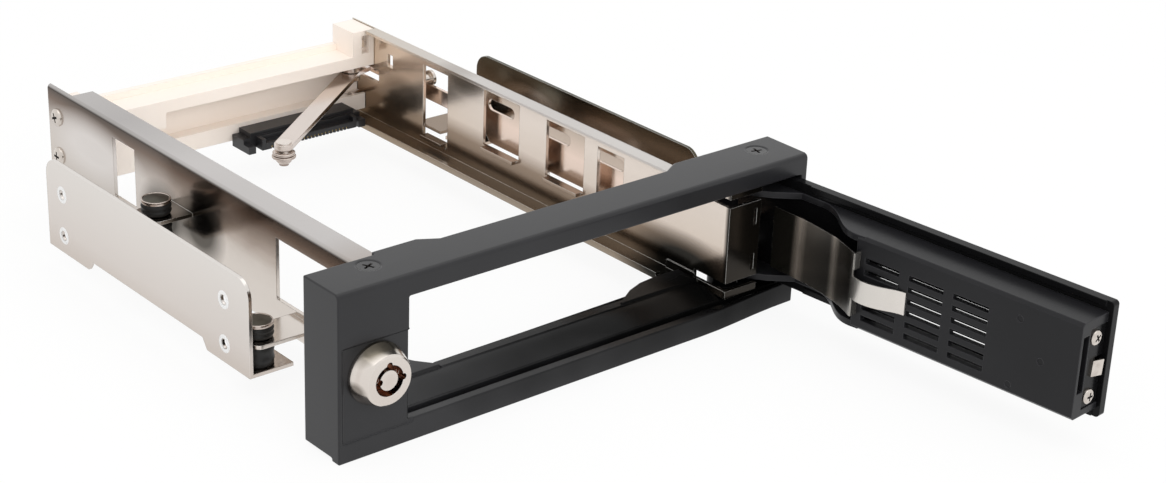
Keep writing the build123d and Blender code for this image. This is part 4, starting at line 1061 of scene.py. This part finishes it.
@dataclass
class Isolators:
    """Four ribbed rubber bushes, each with a domed metal cap on its rivet."""

    places: tuple[str, ...] = ("left_front", "left_rear", "right_front", "right_rear")
    lead_in: float = 0.0006
    lip: float = 0.0004
    foot_draft: float = 0.0001
    top_round: float = 0.0003
    ledge_low: float = 0.0062
    ledge_high: float = 0.0074
    neck: float = 0.0028
    neck_step: float = 0.00002
    rib_depth: float = 0.00025
    rib_count: int = 2
    facets: int = 48
    cap_height: float = 0.0010
    rim: float = 0.0004
    rim_outline: tuple[tuple[float, float], ...] = (
        (0.0, 0.5), (0.55, 0.05), (0.9, 0.4), (0.94, 1.2), (0.7, 1.5),
    )
    insert_gap: float = 1.7
    insert_dome: tuple[tuple[float, float], ...] = ((0.92, 0.62), (0.99, 0.25), (1.0, 0.08))

    def build(self) -> None:
        """Makes one bush and one cap and copies them to the four places."""
        low, high = (Vector(corner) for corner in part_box(f"{self.places[0]}_isolator"))
        radius = (high.x - low.x) / 2
        bush = self._bush(radius, high.z - low.z)
        rim = self._rim(radius)
        insert = self._insert(radius)
        for place in self.places:
            node = f"{place}_isolator"
            low, high = (Vector(corner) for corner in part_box(node))
            foot = Vector(((low.x + high.x) / 2, (low.y + high.y) / 2, low.z))
            top = Vector((foot.x, foot.y, high.z))
            made = Bench.twin(bush, f"{node}_bush", foot, Axis.UP.way)
            Bench.hand_over(made, "chassis", RUBBER, "isolator_rubber", (node,))
            made = Bench.twin(rim, f"{node}_cap_rim", top, Axis.UP.way)
            Bench.hand_over(made, "chassis", ROLLER_STEEL, "black_screws", ("isolator_studs",))
            made = Bench.twin(insert, f"{node}_cap_insert", top, Axis.UP.way)
            Bench.hand_over(made, "chassis", CAP_METAL, "black_screws", ("isolator_studs",))
        Bench.put_away(bush, rim, insert)

    def _bush(self, radius: float, height: float) -> bpy.types.Object:
        """The rubber bush, necked where it sits in the ledge.

        Args:
            radius: its radius.
            height: its height.

        Returns:
            The bush, upright at the origin.
        """
        inner = radius - self.lead_in
        steps = [(0.0, inner), (self.lip, radius - self.foot_draft)]
        steps += self._ribs(self.lip, self.ledge_low - self.lip, radius)
        steps += [(self.ledge_low, inner), (self.ledge_low + self.neck_step, self.neck)]
        steps += [(self.ledge_high, self.neck), (self.ledge_high + self.neck_step, inner)]
        steps += self._ribs(self.ledge_high + self.lip, height - self.top_round, radius)
        steps += [(height, radius - self.lip)]
        bush = Bench.turn("bush", steps, self.facets)
        Bench.soften(bush, 0.00006, 2, 30.0)
        return bush

    def _ribs(self, start: float, end: float, radius: float) -> list[tuple[float, float]]:
        """Shallow waves between two heights.

        Args:
            start: the lower height.
            end: the upper height.
            radius: the radius at the crests.

        Returns:
            (height, radius) pairs, four to a wave.
        """
        count = self.rib_count * 4
        steps = []
        for i in range(count + 1):
            share = i / count
            swell = 0.5 - 0.5 * cos(share * self.rib_count * 2 * pi)
            steps.append((start + (end - start) * share, radius - self.rib_depth * (1 - swell)))
        return steps

    def _rim(self, radius: float) -> bpy.types.Object:
        """The cap's polished rim."""
        steps = [(self.cap_height * up, radius - self.rim * off) for up, off in self.rim_outline]
        rim = Bench.turn("cap_rim", steps, self.facets)
        Bench.soften(rim, 0.0, 1, 40.0)
        return rim

    def _insert(self, radius: float) -> bpy.types.Object:
        """The cap's dark, slightly domed insert."""
        rim = radius - self.rim * self.insert_gap
        steps = [(self.cap_height * 0.5, rim), (self.cap_height * 0.84, rim)]
        steps += [(self.cap_height * up, radius * share) for up, share in self.insert_dome]
        insert = Bench.turn("cap_insert", steps, self.facets)
        Bench.soften(insert, 0.0, 1, 40.0)
        return insert


@dataclass
class Cage:
    """The two walls, the two brackets with their formed screw holes, and the isolators."""

    ring_radius: float = 0.0024
    ring_bore: float = 0.00145
    ring_lift: float = 0.00018
    ring_sink: float = 0.0003
    ring_facets: int = 32
    bore_reach: float = 0.002
    sheet_x: float = 0.073

    def _hole_lip(self) -> bpy.types.Object:
        """The pressed lip of a screw hole.

        Returns:
            The lip, looking upwards, at the origin.
        """
        steps = [
            (-self.ring_sink, self.ring_radius),
            (0.0, self.ring_radius),
            (self.ring_lift * 0.7, self.ring_radius * 0.93),
            (self.ring_lift, self.ring_radius * 0.84),
            (self.ring_lift * 0.6, self.ring_radius * 0.72),
        ]
        lip = Bench.turn("hole_lip", steps, self.ring_facets)
        bore = [(-self.bore_reach, self.ring_bore), (self.bore_reach, self.ring_bore)]
        Bench.cut(lip, [Bench.turn("bore", bore, self.ring_facets)])
        Bench.soften(lip, 0.0, 1, 30.0)
        return lip

    def _hole_lips(self) -> None:
        """Copies the lip to each hole of the two side patterns in the record."""
        lip = self._hole_lip()
        number = 0
        for mount in FRAME["record"]["mounts"]:
            if mount["kind"] != "bolt_pattern":
                continue
            x, y, z = mount["pos_m"]
            side = Axis.RIGHT if x > 0 else Axis.LEFT
            across = mount["dims"]["spacing_x_mm"] / 2000
            up = mount["dims"]["spacing_y_mm"] / 2000
            for step_y, step_z in ((-across, -up), (across, -up), (-across, up), (across, up)):
                number += 1
                place = Vector((side.way.x * self.sheet_x, y + step_y, z + step_z))
                made = Bench.twin(lip, f"screw_hole_lip_{number}", place, side.way)
                Bench.hand_over(made, "chassis", LIP_METAL, "plated_steel")
        Bench.put_away(lip)

    def build(self) -> None:
        """Makes the cage's pieces."""
        Bench.dress("left_side_wall", LEFT_WALL_SHEET)
        Bench.dress("right_side_wall", RIGHT_WALL_SHEET)
        Bench.dress("left_mount_bracket", LEFT_BRACKET_SHEET)
        Bench.dress("right_mount_bracket", RIGHT_BRACKET_SHEET)
        self._hole_lips()
        Isolators().build()


@dataclass
class RearEnd:
    """The cream rear frame, its screws and the drive connector."""

    side_screw: CrossScrew = field(
        default_factory=lambda: CrossScrew(
            radius=0.0026, height=0.0014, crown=0.0009, recess=0.0017, slot_width=0.0007, recess_depth=0.0009,
            shank_radius=0.0014, shank=0.0050,
        )
    )

    def build(self) -> None:
        """Makes the rear end's pieces."""
        Bench.dress("rear_frame", FRAME_PLASTIC)
        Bench.dress("column_screw", SCREW_STEEL)
        Bench.dress("sata_connector", CONNECTOR_PLASTIC)
        Bench.dress("connector_contacts", CONTACT_GOLD)
        screw = self.side_screw.build()
        for number, (low, high) in enumerate(Bench.solids("rear_frame_screws")):
            middle = (low + high) / 2
            side = Axis.RIGHT if middle.x > 0 else Axis.LEFT
            top = Vector((high.x if side is Axis.RIGHT else low.x, middle.y, middle.z))
            name = f"frame_side_screw_{number + 1}"
            made = Bench.twin(screw, name, top, side.way, self.side_screw.spin(number))
            Bench.hand_over(made, "chassis", SCREW_STEEL, "screw_steel", ("rear_frame_screws",))
        Bench.put_away(screw)


@dataclass
class Lock:
    """The tubular key lock: barrel, cylinder, cam and nut; and the door's hinge pin."""

    def build(self) -> None:
        """Dresses the lock's pieces and the pin."""
        Bench.dress("lock_barrel", LOCK_NICKEL)
        Bench.dress("lock_cylinder", LOCK_NICKEL)
        Bench.dress("lock_cam", LEVER_SHEET)
        Bench.dress("lock_nut", SCREW_STEEL)
        Bench.dress("hinge_pin", SCREW_STEEL)


@dataclass
class Door:
    """The hinged door: face, box, end plate, latch and leaf spring."""

    screw: CrossScrew = field(
        default_factory=lambda: CrossScrew(
            radius=0.0020, height=0.0013, crown=0.0006, recess=0.0014, slot_width=0.00062, recess_depth=0.0008,
            shank_radius=0.0010, shank=0.0054, next_spin=35.0,
        )
    )
    screw_inset: float = 0.0001
    end_way: Place = (0.0842, -0.99645, 0.0)
    bolt_width: float = 0.0036
    bolt_height: float = 0.0042
    bolt_length: float = 0.0124
    bolt_shoulder: float = 0.0060
    bolt_proud: float = 0.0012
    bolt_inset: float = 0.0028
    bolt_round: float = 0.0002
    tongue_cut: float = 0.0007

    def _latch(self) -> None:
        """The sliding bolt: a shouldered block with a tongue that is cut back at its tip."""
        low, high = (Vector(corner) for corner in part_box("latch_bolt"))
        tip = Vector((high.x - self.bolt_inset, low.y + self.bolt_proud, (low.z + high.z) / 2))
        half = Vector((self.bolt_width / 2, self.bolt_height / 2, 0.0))
        bolt = Bench.bar("door_latch_bolt", Vector((0, 0, -self.bolt_length)) - half, half)
        Bench.pick(bolt)
        bpy.ops.object.mode_set(mode="EDIT")
        bpy.ops.mesh.select_all(action="SELECT")
        bpy.ops.mesh.bisect(plane_co=(0.0, 0.0, -self.bolt_shoulder), plane_no=(0.0, 0.0, 1.0))
        Bench.mark(bolt, lambda point: point.z > -0.0001 and point.x < 0)
        bpy.ops.object.mode_set(mode="EDIT")
        bpy.ops.transform.translate(value=(0.0, 0.0, -self.tongue_cut))
        bpy.ops.object.mode_set(mode="OBJECT")
        Bench.soften(bolt, self.bolt_round, 2, 30.0)
        Bench.put(bolt, tip, Vector(self.end_way).normalized())
        Bench.hand_over(bolt, "latch", SCREW_STEEL, "screw_steel", ("latch_bolt",))

    def build(self) -> None:
        """Makes the door's pieces."""
        Bench.dress("door_outer_panel", DOOR_PLASTIC)
        Bench.dress("door_inner_box", BOX_PLASTIC)
        Bench.dress("door_end_plate", DOOR_PLASTIC)
        self._latch()
        Bench.dress("latch_spring", SPRING_STEEL)
        Bench.dress("leaf_spring", LEAF_STEEL)
        way = Vector(self.end_way).normalized()
        screw = self.screw.build()
        for number, (low, high) in enumerate(Bench.solids("door_screws")):
            middle = (low + high) / 2
            top = Vector((middle.x + self.screw_inset, low.y + self.screw_inset, middle.z))
            made = Bench.twin(screw, f"door_end_screw_{number + 1}", top, way, self.screw.spin(number))
            Bench.hand_over(made, "door", SCREW_STEEL, "screw_steel", ("door_screws",))
        Bench.put_away(screw)


@dataclass
class Ejector:
    """The linkage that pushes the drive out: link bar, lever and roller."""

    roller_steps: tuple[tuple[float, float], ...] = (
        (0.0019, 0.0030), (0.0021, 0.0034), (0.0026, 0.0034), (0.0028, 0.0031), (0.00282, 0.0026),
        (0.0031, 0.0026), (0.00312, 0.0032), (0.0036, 0.0032), (0.0038, 0.0029), (0.00382, 0.0024),
        (0.0046, 0.0024),
    )
    clip_steps: tuple[tuple[float, float], ...] = (
        (0.0012, 0.0010), (0.0013, 0.0016), (0.0020, 0.0022), (0.0026, 0.0023), (0.0028, 0.0022),
    )
    roller_round: float = 0.00006

    def build(self) -> None:
        """Makes the ejector's pieces."""
        Bench.dress("link_bar", LINK_SHEET)
        Bench.dress("link_guides", SCREW_STEEL)
        Bench.dress("ejector_lever", LEVER_SHEET)
        Bench.dress("lever_pivot_rivet", ROLLER_STEEL)
        low, high = (Vector(corner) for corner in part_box("ejector_roller"))
        foot = Vector(((low.x + high.x) / 2, (low.y + high.y) / 2, low.z))
        roller = Bench.turn("ejector_arm_roller", list(self.roller_steps), 48)
        Bench.soften(roller, self.roller_round, 2, 30.0)
        Bench.put(roller, foot, Axis.UP.way)
        Bench.hand_over(roller, "roller", ROLLER_STEEL, "connector_plastic", ("ejector_roller",))
        clip_low, _ = (Vector(corner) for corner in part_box("roller_clip"))
        clip = Bench.turn("ejector_roller_clip", list(self.clip_steps))
        Bench.soften(clip, 0.0, 1, 40.0)
        Bench.put(clip, Vector((foot.x, foot.y, clip_low.z)), Axis.UP.way)
        Bench.hand_over(clip, "lever", ROLLER_STEEL, "screw_steel", ("roller_clip",))


@dataclass(frozen=True)
class Softbox:
    """A square lamp that looks at a point; a mirrored one shows in glossy surfaces."""

    name: str
    place: Place
    aim: Place
    size: float
    watts: float
    mirrored: bool = False


@dataclass
class Studio:
    """Floor, lights, white surroundings and the camera."""

    camera_place: Place = (-0.3423, -0.4032, 0.2674)
    camera_azimuth: float = -41.114
    camera_elevation: float = 24.004
    camera_roll: float = 2.311
    lens: float = 72.2
    floor_half: float = 3.0
    floor_colour: Colour = (0.92, 0.92, 0.91)
    backdrop_share: float = 0.9
    world_fill: float = 0.82
    softboxes: tuple[Softbox, ...] = (
        Softbox("overhead_softbox", (0.05, 0.1, 1.25), (0.0, 0.05, 0.0), 1.5, 3.4, True),
        Softbox("left_softbox", (-1.1, -0.5, 0.7), (0.0, 0.0, 0.02), 0.9, 3.0),
        Softbox("front_softbox", (0.05, -1.2, 0.55), (0.0, 0.15, 0.02), 0.8, 6.0),
    )

    def build(self, floor_z: float) -> None:
        """Makes everything that isn't part of the rack.

        Args:
            floor_z: the height of the rack's lowest point.
        """
        self._world()
        self._floor(floor_z)
        for softbox in self.softboxes:
            self._lamp(softbox)
        self._camera()

    def _seen_ray(self, graph: Graph) -> Value:
        """1 for the rays that see the surroundings: straight, mirrored or through glass."""
        seen = graph.add("ShaderNodeLightPath", output="Is Camera Ray")
        mirrored = graph.add("ShaderNodeLightPath", output="Is Glossy Ray")
        through = graph.add("ShaderNodeLightPath", output="Is Transmission Ray")
        return graph.add(
            "ShaderNodeMath", {"operation": "MINIMUM"}, {0: seen + mirrored + through, 1: 1.0}
        )

    def _world(self) -> None:
        """White to the eye and to metal, softer as a light."""
        world = bpy.data.worlds.new("studio_white")
        bpy.context.scene.world = world
        world.use_nodes = True
        graph = Graph(world.node_tree)
        strength = graph.spread(self._seen_ray(graph), self.world_fill, 1.0)
        light = graph.add("ShaderNodeBackground", {}, {"Color": (1, 1, 1, 1), "Strength": strength})
        graph.add("ShaderNodeOutputWorld", {}, {"Surface": light})

    def _floor(self, floor_z: float) -> None:
        """A pale floor that keeps the rack's soft shadow.

        Args:
            floor_z: its height.
        """
        bpy.ops.object.select_all(action="DESELECT")
        bpy.ops.mesh.primitive_plane_add(size=self.floor_half * 2, location=(0, 0, floor_z))
        floor = Bench.name(bpy.context.active_object, "studio_floor")
        Bench.seat(floor)
        material = bpy.data.materials.new("pale_floor")
        material.use_nodes = True
        graph = Graph(material.node_tree)
        matt = graph.add("ShaderNodeBsdfDiffuse", {}, {"Color": (*self.floor_colour, 1)})
        white = graph.add("ShaderNodeEmission", {}, {"Color": (1, 1, 1, 1), "Strength": 1.0})
        share = self._seen_ray(graph) * self.backdrop_share
        mixed = graph.add("ShaderNodeMixShader", {}, {0: share, 1: matt, 2: white})
        graph.add("ShaderNodeOutputMaterial", {}, {"Surface": mixed})
        floor.data.materials.append(material)
        floor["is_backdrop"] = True

    def _lamp(self, softbox: Softbox) -> None:
        """Sets up one softbox."""
        lamp = bpy.data.lights.new(softbox.name, "AREA")
        lamp.shape = "SQUARE"
        lamp.size = softbox.size
        lamp.energy = softbox.watts
        thing = bpy.data.objects.new(softbox.name, lamp)
        thing.visible_glossy = softbox.mirrored
        bpy.context.scene.collection.objects.link(thing)
        look = Vector(softbox.aim) - Vector(softbox.place)
        turn = look.to_track_quat("-Z", "Y").to_matrix().to_4x4()
        thing.matrix_world = Matrix.Translation(softbox.place) @ turn

    def _camera(self) -> None:
        """The camera, at the angle from which the rack was seen."""
        a = radians(self.camera_azimuth)
        e = radians(self.camera_elevation)
        r = radians(self.camera_roll)
        back = Vector((sin(a) * cos(e), -cos(a) * cos(e), sin(e)))
        right = (-back).cross(Vector((0, 0, 1))).normalized()
        up = right.cross(-back)
        side = right * cos(r) + up * sin(r)
        rise = up * cos(r) - right * sin(r)
        turn = Matrix((side, rise, back)).transposed().to_4x4()
        data = bpy.data.cameras.new("studio_camera")
        data.lens = self.lens
        data.sensor_width = 36.0
        data.sensor_fit = "HORIZONTAL"
        data.clip_start = 0.01
        camera = bpy.data.objects.new("studio_camera", data)
        camera.matrix_world = Matrix.Translation(self.camera_place) @ turn
        bpy.context.scene.collection.objects.link(camera)
        bpy.context.scene.camera = camera


def main() -> None:
    """Builds the rack's looks on the frame."""
    logging.basicConfig(level=logging.INFO, format="%(name)s: %(message)s")
    frame_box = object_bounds()
    low, _ = frame_box
    for assembly in (Bezel(), Cage(), RearEnd(), Lock(), Door(), Ejector()):
        LOG.info("building %s", type(assembly).__name__)
        assembly.build()
    Studio().build(float(low[2]))
    bpy.context.scene.view_settings.view_transform = "Standard"


with open("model.json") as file:
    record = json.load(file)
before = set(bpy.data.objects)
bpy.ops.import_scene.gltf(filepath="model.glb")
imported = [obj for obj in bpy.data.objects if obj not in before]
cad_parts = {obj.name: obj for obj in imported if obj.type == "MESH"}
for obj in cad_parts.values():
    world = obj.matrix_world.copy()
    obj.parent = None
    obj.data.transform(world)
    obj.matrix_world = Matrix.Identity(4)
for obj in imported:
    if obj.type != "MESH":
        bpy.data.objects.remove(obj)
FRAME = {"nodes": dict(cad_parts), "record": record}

if __name__ == "__main__":
    main()
